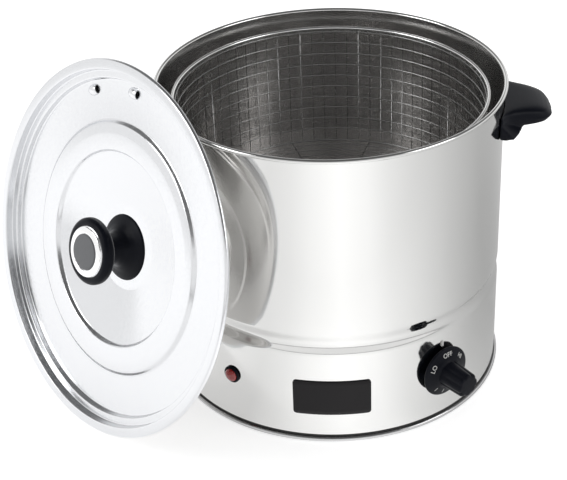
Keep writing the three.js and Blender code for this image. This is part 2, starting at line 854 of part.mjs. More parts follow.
const regulatorBox = box(regulatorWidth, regulatorHeight, regulatorDepth,
  0, 0, -regulatorSetback - regulatorDepth / 2);
add(dialMount, 'energy_regulator', cut(
  join(regulatorBox, cylinder(bushRadius, -regulatorSetback - regulatorDepth / 2, bushProud)),
  cylinder(shaftRadius + gap, shaftEnd - shaftLength - gap, bushProud + cutOverrun),
  ...regulatorScrewPlaces.map(regulatorScrewHole),
), ivoryPlastic);

regulatorScrewPlaces.forEach((up, i) => {
  const screw = add(dialMount, `regulator_screw_${i + 1}`, revolve([
    [0, -regulatorScrewDepth],
    [regulatorScrewRadius, -regulatorScrewDepth],
    [regulatorScrewRadius, gap],
    [regulatorScrewHeadRadius, gap],
    [regulatorScrewHeadRadius, gap + regulatorScrewHeadHeight],
    [0, gap + regulatorScrewHeadHeight],
  ], smallSides), zincSteel);
  screw.position.set(0, up, 0);
});

add(dialMount, 'dial_index', box(indexWidth, indexHeight, indexThickness,
  0, skirtRadius + gap + indexHeight / 2, gap + indexThickness / 2), indexWhite);

// Pilot lamp

const bezelBack = gap;
const lipTop = bezelBack + bezelLip;
add(pilotMount, 'pilot_bezel', revolve([
  [pilotBodyRadius + gap, bezelBack],
  [bezelRadius, bezelBack],
  [bezelRadius, bezelHeight - bezelLip / 2],
  [bezelRadius - bezelLip / 2, bezelHeight + gap],
  [lensRadius + gap, bezelHeight + gap],
  [lensRadius + gap, lipTop],
  [pilotBodyRadius + gap, lipTop],
], smallSides), blackPlastic);

add(pilotMount, 'pilot_lens', revolve([
  [0, lipTop + gap],
  [lensRadius, lipTop + gap],
  ...domeLine(lensRadius, bezelHeight + gap, lensHeight),
], smallSides), redLens);

const pilotShoulder = insideFace(bezelRadius);
add(pilotMount, 'pilot_body', revolve([
  [0, -pilotBodyLength],
  [pilotBodyRadius, -pilotBodyLength],
  [pilotBodyRadius, pilotShoulder - bezelLip],
  [bezelRadius - bezelLip, pilotShoulder - bezelLip],
  [bezelRadius - bezelLip, pilotShoulder],
  [pilotBodyRadius, pilotShoulder],
  [pilotBodyRadius, lipTop],
  [0, lipTop],
], smallSides), ivoryPlastic);

// Name plate

function roundedRectangle(width, height, corner) {
  const [x, y] = [width / 2, height / 2];
  const shape = new THREE.Shape();
  shape.absarc(x - corner, y - corner, corner, 0, Math.PI / 2);
  shape.absarc(corner - x, y - corner, corner, Math.PI / 2, Math.PI);
  shape.absarc(corner - x, corner - y, corner, Math.PI, Math.PI * 1.5);
  shape.absarc(x - corner, corner - y, corner, Math.PI * 1.5, Math.PI * 2);
  return new THREE.Shape(shape.getPoints(3));
}

function namePlateSolid() {
  const halfSpan = degrees(plateWidth / wallRadius) / 2;
  const wide = sweepAround(() => [
    [wallRadius + gap, plateHeight - plateTall],
    [wallRadius + gap + plateThickness, plateHeight - plateTall],
    [wallRadius + gap + plateThickness, plateHeight + plateTall],
    [wallRadius + gap, plateHeight + plateTall],
  ], plateAzimuthDeg - 2 * halfSpan, plateAzimuthDeg + 2 * halfSpan, 2 * plateColumns);
  const mount = mountOnWall(plateAzimuthDeg, plateHeight);
  const shape = roundedRectangle(plateWidth, plateTall, plateCorner);
  const outline = prism(shape, -plateWidth / 2, plateCorner);
  return geometryOf(solidOf(wide).intersect(solidOf(inTankFrame(mount, outline))));
}

add(root, 'name_plate', namePlateSolid(), blackPlastic);

// Heating element, its spreader, clamp, stud and nut

const spreaderUnder = floorUnder - gap - spreaderThickness;
add(root, 'heat_spreader',
  cylinder(spreaderRadius, spreaderUnder, floorUnder - gap, roundSides / 2), castAluminium);

const elementHeight = spreaderUnder - gap - elementTube;
const elementTailEnd = elementHeight - elementTailDrop;

// One end of the element: up from its tip and round into the ring. turn is 1
// where the ring goes on with rising azimuth and -1 where it comes back.
function elementEndLine(tipDeg, turn) {
  const at = (run, height) =>
    atAzimuth(tipDeg + turn * degrees(run / elementRing), elementRing, height);
  const bend = [0, 30, 60, 90].map(radians).map((angle) =>
    at(elementBend * (1 - Math.cos(angle)), elementHeight - elementBend * (1 - Math.sin(angle))));
  return [at(0, elementTailEnd), ...bend];
}

function elementCurve() {
  const firstDeg = 180 + elementOpenDeg / 2;
  const lastDeg = 540 - elementOpenDeg / 2;
  const bendDeg = degrees(elementBend / elementRing);
  const ring = evenly(firstDeg + bendDeg, lastDeg - bendDeg, elementTurns).slice(1, -1);
  return new THREE.CatmullRomCurve3([
    ...elementEndLine(firstDeg, 1),
    ...ring.map((azimuthDeg) => atAzimuth(azimuthDeg, elementRing, elementHeight)),
    ...elementEndLine(lastDeg, -1).reverse(),
  ]);
}

add(root, 'heating_element',
  along(elementCurve(), elementTube, elementSides, elementSteps), satinSteel);

const clampTop = elementHeight - elementTube - gap;
const clampUnder = clampTop - clampThickness;
add(root, 'element_clamp', cut(
  box(clampLength, clampWidth, clampThickness, 0, 0, (clampTop + clampUnder) / 2),
  cylinder(studRadius + gap, clampUnder - cutOverrun, clampTop + cutOverrun),
), zincSteel);

add(root, 'element_stud',
  cylinder(studRadius, clampUnder - studEnd, spreaderUnder - gap), zincSteel);

const nutTop = clampUnder - gap;
add(root, 'element_nut', cut(
  hexagon(nutAcross, nutTop - nutHeight, nutTop),
  cylinder(studRadius + gap, nutTop - nutHeight - cutOverrun, nutTop + cutOverrun),
), zincSteel);

// Boil-dry cut-out with its nut and reset button

const neckBore = buttonRadius + gap;
const cutoutFront = insideFace(cutoutWidth / 2) - cutoutSetback;
add(cutoutMount, 'boil_dry_cutout', cut(
  join(
    box(cutoutWidth, cutoutTall, cutoutDepth, 0, 0, cutoutFront - cutoutDepth / 2),
    cylinder(neckRadius, cutoutFront - cutoutDepth / 2, neckProud),
  ),
  cylinder(neckBore, neckProud - buttonDepth - buttonTravel - gap, neckProud + cutOverrun),
), ivoryPlastic);

add(cutoutMount, 'cutout_nut', cut(
  hexagon(neckNutAcross, gap, gap + neckNutHeight),
  cylinder(neckRadius + gap, -cutOverrun, neckNutHeight + cutOverrun),
), zincSteel);

add(cutoutMount, 'reset_button',
  cylinder(buttonRadius, neckProud - buttonDepth, neckProud + buttonProud), redLens);

// Cord inlet

const glandCorner = glandAcross / (2 * Math.cos(Math.PI / 6));
const glandNutFront = insideFace(glandCorner);
add(glandMount, 'cable_gland', cut(
  join(
    hexagon(glandAcross, gap, gap + glandCollar),
    revolve([
      [0, glandNutFront - glandInside],
      [glandThreadRadius, glandNutFront - glandInside],
      [glandThreadRadius, gap + glandCollar],
      [glandThreadRadius + gap, gap + glandCollar],
      [glandMouthRadius, gap + glandDome],
      [0, gap + glandDome],
    ], smallSides),
  ),
  cylinder(glandBore, glandNutFront - glandInside - cutOverrun, gap + glandDome + cutOverrun),
), blackPlastic);

add(glandMount, 'gland_nut', cut(
  hexagon(glandNutAcross, glandNutFront - glandNutHeight, glandNutFront),
  cylinder(glandThreadRadius + gap, glandNutFront - glandNutHeight - cutOverrun, cutOverrun),
), blackPlastic);

// Terminal block on the pan, and the wires

const blockBack = wallRadius - blockSetback;
const blockTop = padRise + sheet + gap + blockHeight;
const wayPlaces = Array.from({ length: blockWays },
  (unused, i) => (blockLength / blockWays) * (i - (blockWays - 1) / 2));
const slots = wayPlaces.map((x) =>
  box(blockSlot, blockDepth + 2 * cutOverrun, 2 * blockSlotDepth, x, blockBack, blockTop));
const blockBody = box(blockLength, blockDepth, blockHeight, 0, blockBack, blockTop - blockHeight / 2);
add(root, 'terminal_block', cut(blockBody, ...slots), ivoryPlastic);

function wire(name, start, startOut, end, endOut, makeMaterial) {
  const curve = new THREE.CubicBezierCurve3(
    start,
    start.clone().addScaledVector(startOut, wireLead),
    end.clone().addScaledVector(endOut, wireLead),
    end,
  );
  add(root, name, along(curve, wireRadius, wireSides, wireSteps), makeMaterial);
}

const upward = new THREE.Vector3(0, 0, 1);
const downward = new THREE.Vector3(0, 0, -1);
const slotFloor = blockTop - blockSlotDepth + gap;
const [pilotWay, returnWay, , regulatorWay] =
  wayPlaces.map((x) => new THREE.Vector3(x, blockBack, slotFloor));
const inwardFrom = (azimuthDeg) => atAzimuth(azimuthDeg, -1, 0);
const behind = (azimuthDeg, depth, height) => atAzimuth(azimuthDeg, wallRadius - depth - gap, height);
const regulatorBack = regulatorSetback + regulatorDepth;
const cutoutBack = cutoutDepth - cutoutFront;
const cutoutTerminal = cutoutTall / 4;
const [firstTip, lastTip] = [-1, 1].map((side) =>
  atAzimuth(180 + (side * elementOpenDeg) / 2, elementRing, elementTailEnd - gap));

wire('regulator_wire', regulatorWay, upward,
  behind(dialAzimuthDeg, regulatorBack, dialHeight - regulatorHeight / 4),
  inwardFrom(dialAzimuthDeg), redWire);
wire('pilot_wire', pilotWay, upward,
  behind(pilotAzimuthDeg, pilotBodyLength, pilotHeight), inwardFrom(pilotAzimuthDeg), redWire);
wire('cutout_wire', behind(dialAzimuthDeg, regulatorBack, dialHeight + regulatorHeight / 4),
  inwardFrom(dialAzimuthDeg), behind(cutoutAzimuthDeg, cutoutBack, cutoutHeight - cutoutTerminal),
  inwardFrom(cutoutAzimuthDeg), redWire);
wire('element_wire', behind(cutoutAzimuthDeg, cutoutBack, cutoutHeight + cutoutTerminal),
  inwardFrom(cutoutAzimuthDeg), firstTip, downward, redWire);
wire('return_wire', returnWay, upward, lastTip, downward, darkGreyPlastic);

// Wire basket: rim, mesh wall, mesh floor and legs

const meshOuter = basketWallRadius + basketWire;
const meshTop = basketRimHeight - basketRimWire - gap;
const rimWire = new THREE.TorusGeometry(basketRimRadius, basketRimWire, elementSides, roundSides);
rimWire.translate(0, 0, basketRimHeight);
add(root, 'basket_rim', closed(rimWire), basketSteel);

const halfWire = basketWire / 2;
const wallLines = evenly(0, 360, basketColumns).slice(0, basketColumns);
add(root, 'basket_wall', lattice(
  wallLines,
  barEdges(evenly(basketFloorHeight + halfWire, meshTop - halfWire, basketRows), halfWire),
  () => degrees(halfWire / basketWallRadius),
  (azimuthDeg, height, face) => atAzimuth(azimuthDeg, face ? meshOuter : basketWallRadius, height),
), basketSteel);

const spokeLines = evenly(0, 360, basketSpokes).slice(0, basketSpokes);
const ringLines = evenly(basketHub + halfWire, basketWallRadius - gap - halfWire, basketRings);
add(root, 'basket_floor', lattice(
  spokeLines,
  barEdges(ringLines, halfWire),
  (radius) => degrees(halfWire / radius),
  (azimuthDeg, radius, face) =>
    atAzimuth(azimuthDeg, radius, basketFloorHeight + (face ? basketWire : 0)),
), basketSteel);

basketLegAnglesDeg.forEach((azimuthDeg, i) => {
  const leg = add(root, `basket_leg_${i + 1}`,
    cylinder(basketLegRadius, floorTop + gap, basketFloorHeight - gap), basketSteel);
  leg.position.copy(atAzimuth(azimuthDeg, ringLines[basketRings - 1], 0));
});

// Lid

const lidEdge = lidRadius - lidBeadRadius;

function lidTopLine() {
  const step = lidRadius - lidEdgeWidth;
  return [
    [lidEdge, 0],
    [step, 0],
    [step - lidStepDraft, -lidSeatDrop],
    [lidWallRadius, -lidSeatDrop],
    [lidWallRadius - lidWallDraft, -lidWallDrop],
    [lidRingOuter, -lidWallDrop - lidSlopeDrop],
    [lidRingOuter - lidRingRamp, -lidWallDrop - lidSlopeDrop + lidRingRise],
    [lidRingInner + lidRingSlope, -lidWallDrop - lidSlopeDrop + lidRingRise],
    [lidRingInner, -lidWallDrop - lidSlopeDrop],
    [lidDishRadius, -lidDishDrop],
    [0, -lidDishDrop],
  ];
}

function lidSheet() {
  const top = lidTopLine();
  const under = offsetLine(top, sheet).slice(1);
  return revolve([
    ...under.reverse(),
    ...arcPoints(lidEdge, -lidBeadRadius, lidBeadRadius, -150, 90, beadSteps),
    ...top.slice(1),
  ]);
}

// A small pressed hood, open at one end, that lets steam out.
function ventTools(angleDeg) {
  const level = -lidWallDrop - lidSlopeDrop / 3;
  const shape = (shrink) => {
    const ball = new THREE.SphereGeometry(1, 8, 6);
    ball.scale(ventHalfLength - shrink, ventHalfWidth - shrink, ventRise - shrink);
    return ball;
  };
  const mouth = box(ventHalfLength, 2 * ventHalfWidth, ventRise,
    ventHalfLength * (ventMouthShare + 1 / 2), 0, ventRise / 2 + gap);
  const place = (geometry) => {
    geometry.translate(0, ventRadius, level);
    geometry.rotateZ(radians(-angleDeg));
    return geometry;
  };
  return { hood: place(shape(0)), hollow: place(shape(sheet)), mouth: place(mouth) };
}

function lidSolid() {
  const vents = ventAnglesDeg.map(ventTools);
  const hoods = vents.map(({ hood, mouth }) => cut(hood, mouth));
  return cut(
    join(lidSheet(), ...hoods),
    ...vents.map(({ hollow }) => hollow),
    cylinder(knobBoltRadius + gap, -lidDishDrop - sheet - cutOverrun, -lidDishDrop + cutOverrun),
  );
}

// The lid leans so that its lowest edge stands on the surface. It meets the tank's
// rim or the left handle, whichever stands out further, or where they lie beyond
// its own edge, its edge meets the tank wall.
const leanShare = { out: Math.cos(radians(lidLeanDeg)), up: Math.sin(radians(lidLeanDeg)) };
const lidHeight = lidEdge * leanShare.out + lidBeadRadius * (1 + leanShare.up);
const faceOut = atAzimuth(lidAzimuthDeg, 1, 0);
const lidAcross = atAzimuth(lidAzimuthDeg + 90, 1, 0);
const lidNormal = faceOut.clone().multiplyScalar(leanShare.out).setZ(leanShare.up);
const lidUp = lidNormal.clone().cross(lidAcross);

function lidCentre(standoff) {
  return faceOut.clone().multiplyScalar(standoff)
    .addScaledVector(lidAcross, lidSidewaysShare * lidRadius)
    .setZ(lidHeight);
}

function earEdgePoints() {
  const azimuthDeg = handleAnglesDeg.left;
  return evenly(-1, 1, handleColumns).flatMap((share) =>
    earSection(share).map(([radius, height]) =>
      atAzimuth(azimuthDeg + share * handleHalfSpanDeg, radius, height)));
}

// How deep the lid's underside lies below its top, by the distance from its axis.
const lidDepths = [
  { from: 0, to: lidWallRadius, drop: lidWallDrop },
  { from: lidWallRadius, to: lidRadius, drop: lidSeatDrop },
];

// The stand-offs at which the underside clears a point that lies under it.
function standoffsOver(point, extra) {
  return lidDepths.flatMap(({ from, to, drop }) => {
    const reach = point.clone().sub(lidCentre(0)).dot(lidNormal) + drop + extra + sheet + gap;
    const standoff = reach / leanShare.out;
    const place = point.clone().sub(lidCentre(standoff));
    const distance = Math.hypot(place.dot(lidAcross), place.dot(lidUp));
    return distance >= from && distance < to ? [standoff] : [];
  });
}

// The stand-off at which a point of the lid's rolled edge clears the tank wall.
function standoffOfEdge(angle) {
  const place = lidCentre(0)
    .addScaledVector(lidAcross, lidEdge * Math.cos(angle))
    .addScaledVector(lidUp, lidEdge * Math.sin(angle))
    .addScaledVector(lidNormal, -lidBeadRadius);
  const outward = place.dot(faceOut);
  const sideways = place.dot(lidAcross);
  const clear = (wallRadius + lidBeadRadius + gap) ** 2 - sideways ** 2;
  return place.z > rimHeight || clear < 0 ? 0 : Math.sqrt(clear) - outward;
}

const rimPoint = atAzimuth(lidAzimuthDeg, rimCentre, rimHeight);
const lidStandoff = Math.max(
  ...standoffsOver(rimPoint, rimBeadRadius),
  ...earEdgePoints().flatMap((point) => standoffsOver(point, lidSlopeDrop)),
  ...evenly(0, 2 * Math.PI, roundSides).map(standoffOfEdge),
);

const lid = new THREE.Group();
lid.quaternion.setFromRotationMatrix(new THREE.Matrix4().makeBasis(lidAcross, lidUp, lidNormal));
lid.position.copy(lidCentre(lidStandoff));
root.add(lid);

add(lid, 'lid_pan', lidSolid(), polishedSteel);

// Knob, its ring, cap, bolt and washer

const knobSeat = -lidDishDrop + gap;
const knobTop = knobSeat + knobHeight;
const knobRecess = knobTop - knobRecessDepth;

add(lid, 'lid_knob', cut(revolve([
  [0, knobSeat],
  [knobBaseRadius - knobRound / 2, knobSeat],
  [knobBaseRadius, knobSeat + knobRound / 2],
  [knobBaseRadius, knobSeat + knobBaseHeight - knobRound],
  [knobBaseRadius - knobRound, knobSeat + knobBaseHeight],
  [knobWaistRadius + knobRound, knobSeat + knobBaseHeight + knobRound],
  [knobWaistRadius, knobSeat + knobBaseHeight + 2 * knobRound],
  [knobWaistRadius, knobTop - knobDiscHeight - 2 * knobRound],
  [knobWaistRadius + knobRound, knobTop - knobDiscHeight - knobRound],
  [knobDiscRadius - knobRound, knobTop - knobDiscHeight],
  [knobDiscRadius, knobTop - knobDiscHeight + knobRound],
  [knobDiscRadius, knobTop - knobRound],
  [knobDiscRadius - knobRound, knobTop],
  [knobRecessRadius, knobTop],
  [knobRecessRadius, knobRecess],
  [0, knobRecess],
], discSides), cylinder(knobBoltRadius + gap, knobSeat - cutOverrun, knobSeat + knobBoltDepth + gap)),
blackPlastic);

const ringOuter = knobRecessRadius - gap;
const ringInner = ringOuter - knobRingWidth;
add(lid, 'knob_ring', revolve([
  [ringInner, knobRecess + gap],
  [ringOuter, knobRecess + gap],
  [ringOuter, knobTop + knobRingProud / 4],
  [ringInner + knobRingWidth / 4, knobTop + knobRingProud],
  [ringInner, knobTop + knobRingProud],
], discSides), chrome);

const capRadius = ringInner - gap;
add(lid, 'knob_cap', revolve([
  [0, knobRecess + gap],
  [capRadius, knobRecess + gap],
  ...domeLine(capRadius, knobTop + knobRingProud / 2, knobCapDome),
], discSides), darkGreyPlastic);

const washerTop = -lidDishDrop - sheet - gap;
add(lid, 'knob_washer', tube(knobBoltRadius + gap, washerRadius, washerTop - washerThickness, washerTop),
  zincSteel);

const boltHeadTop = washerTop - washerThickness - gap;
add(lid, 'knob_bolt', revolve([
  [0, boltHeadTop - knobBoltHeadHeight],
  [knobBoltHeadRadius, boltHeadTop - knobBoltHeadHeight],
  [knobBoltHeadRadius, boltHeadTop],
  [knobBoltRadius, boltHeadTop],
  [knobBoltRadius, knobSeat + knobBoltDepth],
  [0, knobSeat + knobBoltDepth],
], smallSides), zincSteel);

export default root;
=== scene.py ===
"""An electric food steamer: polished tank with its wire basket, and the lid leaning on its rim.

The steamer's lengths are written in millimetres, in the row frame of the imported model, and
meshes are scaled to metres as they are made. Z points up and the front faces -Y. Outlines of
turned pieces are tables of (radius, height).
"""
import json
import math

import bmesh
import bpy
from mathutils import Matrix, Vector

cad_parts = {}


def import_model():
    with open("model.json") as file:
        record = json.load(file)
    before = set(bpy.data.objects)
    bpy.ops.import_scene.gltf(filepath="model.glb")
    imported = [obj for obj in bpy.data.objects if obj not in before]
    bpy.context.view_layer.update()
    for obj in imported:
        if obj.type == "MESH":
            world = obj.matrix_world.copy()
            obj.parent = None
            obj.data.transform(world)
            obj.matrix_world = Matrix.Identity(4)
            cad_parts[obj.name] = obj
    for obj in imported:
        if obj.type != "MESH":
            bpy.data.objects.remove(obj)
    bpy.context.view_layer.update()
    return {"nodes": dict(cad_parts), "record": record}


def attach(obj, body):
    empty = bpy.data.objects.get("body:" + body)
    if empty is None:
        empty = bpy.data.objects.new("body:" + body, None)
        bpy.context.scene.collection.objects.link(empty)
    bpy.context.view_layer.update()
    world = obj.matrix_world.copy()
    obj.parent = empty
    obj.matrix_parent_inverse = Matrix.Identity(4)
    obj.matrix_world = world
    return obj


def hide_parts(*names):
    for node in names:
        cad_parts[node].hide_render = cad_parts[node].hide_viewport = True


MM = 0.001

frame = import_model()

# Tank wall
WALL_RADIUS = 160
SHEET = 1
WALL_INSIDE = WALL_RADIUS - SHEET
WALL_FOOT = 8.6
WALL_STEP = 12  # height of a row of faces, about
RIM_HEIGHT = 296
RIM_BEAD = 2.1
SWAGE_HEIGHT = 108
SWAGE_HALF_WIDTH = 12.5
SWAGE_DEPTH = 3
SWAGE_STEPS = 20
ROUND_SIDES = 192

# Tank floor, heights from its upper face
FLOOR_TOP = 103
FLOOR_LINE = (
    (0, -1), (151.4, -1), (155.4, 3), (155.4, 11), (154.4, 11), (154.4, 4), (150.8, 0), (0, 0))
FLOOR_ROUND = 1.2

# Base pan, its rolled edge, the gasket over it and the feet
PAN_UNDERSIDE = ((0, 1.5), (90, 1.5), (93, 3.5))
PAN_INSIDE = (
    (158.2, 6.3), (158.2, 16), (157.2, 16), (157.2, 4.5), (93, 4.5), (90, 2.5), (0, 2.5))
PAN_ROUNDS = (1.5, 0.4)
PAN_EDGE_HEIGHT = 3.6
PAN_EDGE_RADIUS = 2.7
PAN_EDGE_TURN = (-178, 90, 22)  # from, to, and the number of steps
GASKET_LINE = ((158.5, 6.4), (160.4, 6.4), (160.6, 7.4), (160.4, 8.4), (158.5, 8.4))
GASKET_ROUND = 0.3
FOOT_LINE = ((0, 0), (9, 0), (10, 1), (10, 3.2), (0, 3.2))
FOOT_ROUND = 0.5
FOOT_CIRCLE = 122
FOOT_AZIMUTHS = (45, 135, 225, 315)
FOOT_SIDES = 48

# Side handles
HANDLE_AZIMUTHS = {"right": 90, "left": 270}
HANDLE_GAP = 0.4  # to the wall
HANDLE_TOP = 275.7
HANDLE_REACH = 44
HANDLE_HALF_SPAN = 17.6
HANDLE_DROOP = 3
HANDLE_THICK = (17.3, 18.1)  # at the wall and at the outer edge
EAR_END_REACH = 1
EAR_HALF_SHARE = 0.56  # of the half span, where the ear's reach has halved
EAR_POWER = 6
EAR_EDGE_POWER = 4  # how blunt the outer edge is
EAR_COLUMNS = 64
BLOCK_HALF_SPAN = 18.6
BLOCK_LOW = 248.7
BLOCK_END_RISE = 7
BLOCK_END_POWER = 4
BLOCK_REACH = (8, 18.6)  # at its lower end and under the ear
BLOCK_OUTER_DROP = 1  # of its outer upper edge, from the ear's lower face at the wall
BLOCK_INNER_DROP = 4.5  # of its inner upper edge, from the handle's top
BLOCK_COLUMNS = 48
MOULDING_VOXEL = 0.9
MOULDING_SMOOTHS = 8

# Places on the wall: azimuth in degrees from the front, turning to the right, and height
DIAL_PLACE = (38, 58)
PILOT_PLACE = (-36.6, 57)
PLATE_PLACE = (-1.2, 50.5)
GLAND_PLACE = (180, 42)

# Dial, heights from the wall
DIAL_SKIRT = ((0, 3.4), (24, 3.4), (25, 4.4), (25, 6), (23.6, 6.9), (14.8, 9.9), (12.8, 11.4))
DIAL_GRIP = ((12.8, 11.4), (11.8, 35.4), (10.2, 37), (0, 37))
DIAL_ROUNDS = (0.9, 1.4)
DIAL_SIDES = 256
FLUTES = 8
FLUTE_DEPTH = 1.3
FLUTE_POWER = 1.2
FLUTE_FOOT = (10, 3)  # where the flutes start over the wall, and their run-out
FLUTE_RADIUS = 10  # full depth from here outwards
PRINT_RADIUS = 19.2
PRINT_SLOPE = (3.0, 8.8)  # rise and run of the skirt's sloping face
PRINT_SIZE = 6.2
PRINT_RISE = 0.05  # over the skirt's sloping face
PRINT_THICKNESS = 0.06
PRINT_WEIGHT = 0.05  # how far its strokes are widened
PRINT_WORDS = (("OFF", 0), ("LO", -58), ("HI", 50))  # with their turn from the top
PRINT_TICKS = (-135, -165)
TICK_SIZE = (0.7, 4.2, 0.12)

# Pilot lamp, heights from the wall
PILOT_SURROUND = (
    (5.9, 0.3), (8.5, 0.3), (8.5, 1.6), (7.7, 2.5), (6.7, 2.5), (6.7, 1.8), (5.9, 1.8))
PILOT_ROUND = 0.35
PILOT_SIDES = 64
LENS_RADIUS = 6.4
LENS_BACK = 2.1
LENS_FOOT = 2.5
LENS_DOME = 3.4
LENS_STEPS = 12

# Name plate
PLATE_SIZE = (72, 37)
PLATE_CORNER = 3
PLATE_LEVELS = ((0.3, 0), (0.85, 0), (1.05, 0.25))  # height over the wall, and inset of the edge
PLATE_CELLS = (48, 8)

# Basket
BASKET_RIM_RADIUS = 146
BASKET_RIM_WIRE = 1.9
BASKET_RIM_HEIGHT = 283
BASKET_FLOOR = 158
MESH_RADIUS = 144.2
MESH_WIRE = 0.55
MESH_UPRIGHT = 0.45
MESH_COLUMNS = 77
MESH_PITCH = 12
MESH_TOP_DROP = 4.7  # of the upper row, from the top of the rim wire
UPRIGHT_FOOT = ((-1.5, 0.7), (0, 2.6))  # from the mesh's radius and the basket's floor
UPRIGHT_BEND = ((0.33, -6), (0.88, -3))  # from the mesh's radius and the rim wire's height
UPRIGHT_END = (1.6, -1.3)  # from the middle of the rim wire
GRID_FIRST_RING = 14.8
GRID_PITCH = 11.7
GRID_EDGE_INSET = 2
GRID_EDGE_WIRE = 0.9
GRID_RING_RISE = 1.3
GRID_SPOKES = 11
GRID_HUB = 14
GRID_SPOKE_WIRE = 0.66
GRID_SPOKE_RISE = 0.1
GRID_SPOKE_INSET = 1
LEG_AZIMUTHS = (60, 180, 300)
LEG_CIRCLE = 98.5
LEG_LINE = ((0, 103.3), (2.6, 103.3), (2.6, 157.7), (0, 157.7))
LEG_ROUND = 1.2
LEG_SIDES = 24

# Lid, in its own frame: Z along its axis, zero at the top of the rolled edge
LID_RADIUS = 175.3
LID_BEAD = 2.4
LID_LINE = (
    (165.3, 0), (164.6, -7.3), (157.4, -7.3), (156.4, -12.5), (119, -13.5), (116, -10.7),
    (107, -10), (92, -10), (90, -13.5), (40, -25), (0, -25))
LID_ROUND = 1.2
LID_BEAD_TURN = (-150, 90, 18)
LID_DISH_DROP = 25
LID_LEAN = 16.5
LID_AZIMUTH = -48.9
LID_SIDEWAYS = -73.626
LID_STANDOFF = 215.343
LID_HEIGHT = 168.862

# Steam vents in the lid
VENT_HALF = (8, 5.5, 4)
VENT_MOUTH = 5
VENT_RADIUS = 147.8
VENT_LEVEL = -12.8
VENT_SHEET = 0.8
VENT_TURNS = (-27, -3)
# Painted shade: a black disc in each vent's mouth stands for the dark of the hole
VENT_HOLE_SHADE = ((0, 0.45), (0.62, 0.45), (0.64, 0.40))  # radius as a share of the hood's
VENT_SIDES = 40

# Lid knob: the base's heights are from its seat in the dish, all others from the knob's top
KNOB_GAP = 0.3
KNOB_HEIGHT = 44
KNOB_SEAT = KNOB_GAP - LID_DISH_DROP
KNOB_TOP = KNOB_SEAT + KNOB_HEIGHT
KNOB_BASE = ((0, 0), (30.6, 0), (31.2, 0.9), (30.4, 2.4), (23, 5.2), (17.4, 9), (15, 14))
KNOB_DISC = (
    (15, -18), (18, -15), (27.5, -12), (31.2, -9), (31.2, -3), (28.2, 0), (23.7, 0), (23.7, -3.5),
    (0, -3.5))
KNOB_RING = ((17.2, -3.2), (23.4, -3.2), (23.4, 0.6), (22.8, 1.3), (18, 2.1), (17.2, 1.8))
KNOB_CAP = ((0, -3.2), (16.8, -3.2), (16.8, 2.4), (16, 3), (0, 3.1))
KNOB_ROUND = 2.2
KNOB_TRIM_ROUND = 0.5
KNOB_SIDES = 128
KNOB_CAP_SIDES = 96

# Cord gland, heights from the wall
GLAND_NUT = (22, 0.3, 5.3, 0.6)  # across its flats, from, to, and its chamfer
GLAND_LINE = (
    (4, -14), (8, -14), (8, 5.3), (9.4, 5.3), (9.6, 6.4), (8.4, 11.2), (6.6, 13.3), (4.4, 13.3),
    (4, 12.9))
GLAND_ROUND = 0.6
GLAND_SIDES = 64

# Studio, in metres, watts and degrees, with the camera's lens and sensor in millimetres
FLOOR_HALF = 4
FLOOR_COLOUR = 0.8
FLOOR_GLOW = 0.62
FLOOR_STRIP = (  # distance in front of the steamer's axis, and level
    (0, 0.98), (0.29, 0.96), (0.42, 0.85), (1.0, 0.85), (1.13, 0.06), (2.5, 0.06), (2.9, 0.85))
FLOOR_LEVELS = (  # azimuth and level
    (-180, 0), (-130, 0.3), (-116, 0.66), (-72, 0.66), (-36, 0.52), (-24, 0.63), (-12, 0.82),
    (4, 1.0), (20, 0.835), (32, 0.61), (44, 0.45), (57, 0.30), (71, 0.16), (83, 0.08), (100, 0),
    (180, 0))
WORLD_STOPS = ((0, 1), (0.36, 1), (0.48, 0.22), (1, 0.12))  # height of the direction, and level
WORLD_LIGHT = 0.42
LAMPS = (  # name, place, aim, side and power
    ("key_lamp", (-1.9, -0.6, 1.5), (0, 0, 0.15), 1.2, 15),
    ("fill_lamp", (1.5, -0.7, 1.1), (0, 0, 0.15), 0.9, 6),
    ("back_lamp", (0.3, 1.7, 1.5), (0, 0, 0.1), 1.2, 10),
)
UNMIRRORED_LAMPS = ("back_lamp",)
CAMERA_PLACE = (0, -1.318, 0.9205)
CAMERA_YAW = -2.09
CAMERA_PITCH = 31.14
CAMERA_ROLL = -2.14
CAMERA_NEAR = 0.05
FOCAL_LENGTH = 100.1
SENSOR_WIDTH = 36


# Geometry


def at_azimuth(azimuth, radius, height):
    angle = math.radians(azimuth)
    return Vector((radius * math.sin(angle), -radius * math.cos(angle), height))


def wall_frame(place):
    """The frame on the wall's outer face: X to the side, Y up, Z straight out."""
    azimuth, height = place
    out = at_azimuth(azimuth, 1, 0)
    up = Vector((0, 0, 1))
    side = up.cross(out)
    turn = Matrix((side, up, out)).transposed().to_4x4()
    return Matrix.Translation(at_azimuth(azimuth, WALL_RADIUS, height) * MM) @ turn


def lid_frame():
    out = at_azimuth(LID_AZIMUTH, 1, 0)
    lean = math.radians(LID_LEAN)
    across = at_azimuth(LID_AZIMUTH + 90, 1, 0)
    normal = out * math.cos(lean) + Vector((0, 0, math.sin(lean)))
    up = normal.cross(across)
    turn = Matrix((across, up, normal)).transposed().to_4x4()
    centre = out * LID_STANDOFF + across * LID_SIDEWAYS
    centre.z = LID_HEIGHT
    return Matrix.Translation(centre * MM) @ turn


def arc(centre_radius, centre_height, radius, start, end, steps):
    """Points of an arc in a profile, angles in degrees from the outward direction."""
    points = []
    for i in range(steps + 1):
        angle = math.radians(start + (end - start) * i / steps)
        points.append(
            (centre_radius + radius * math.cos(angle), centre_height + radius * math.sin(angle))
        )
    return points


def raised(line, rise):
    return [(radius, height + rise) for radius, height in line]


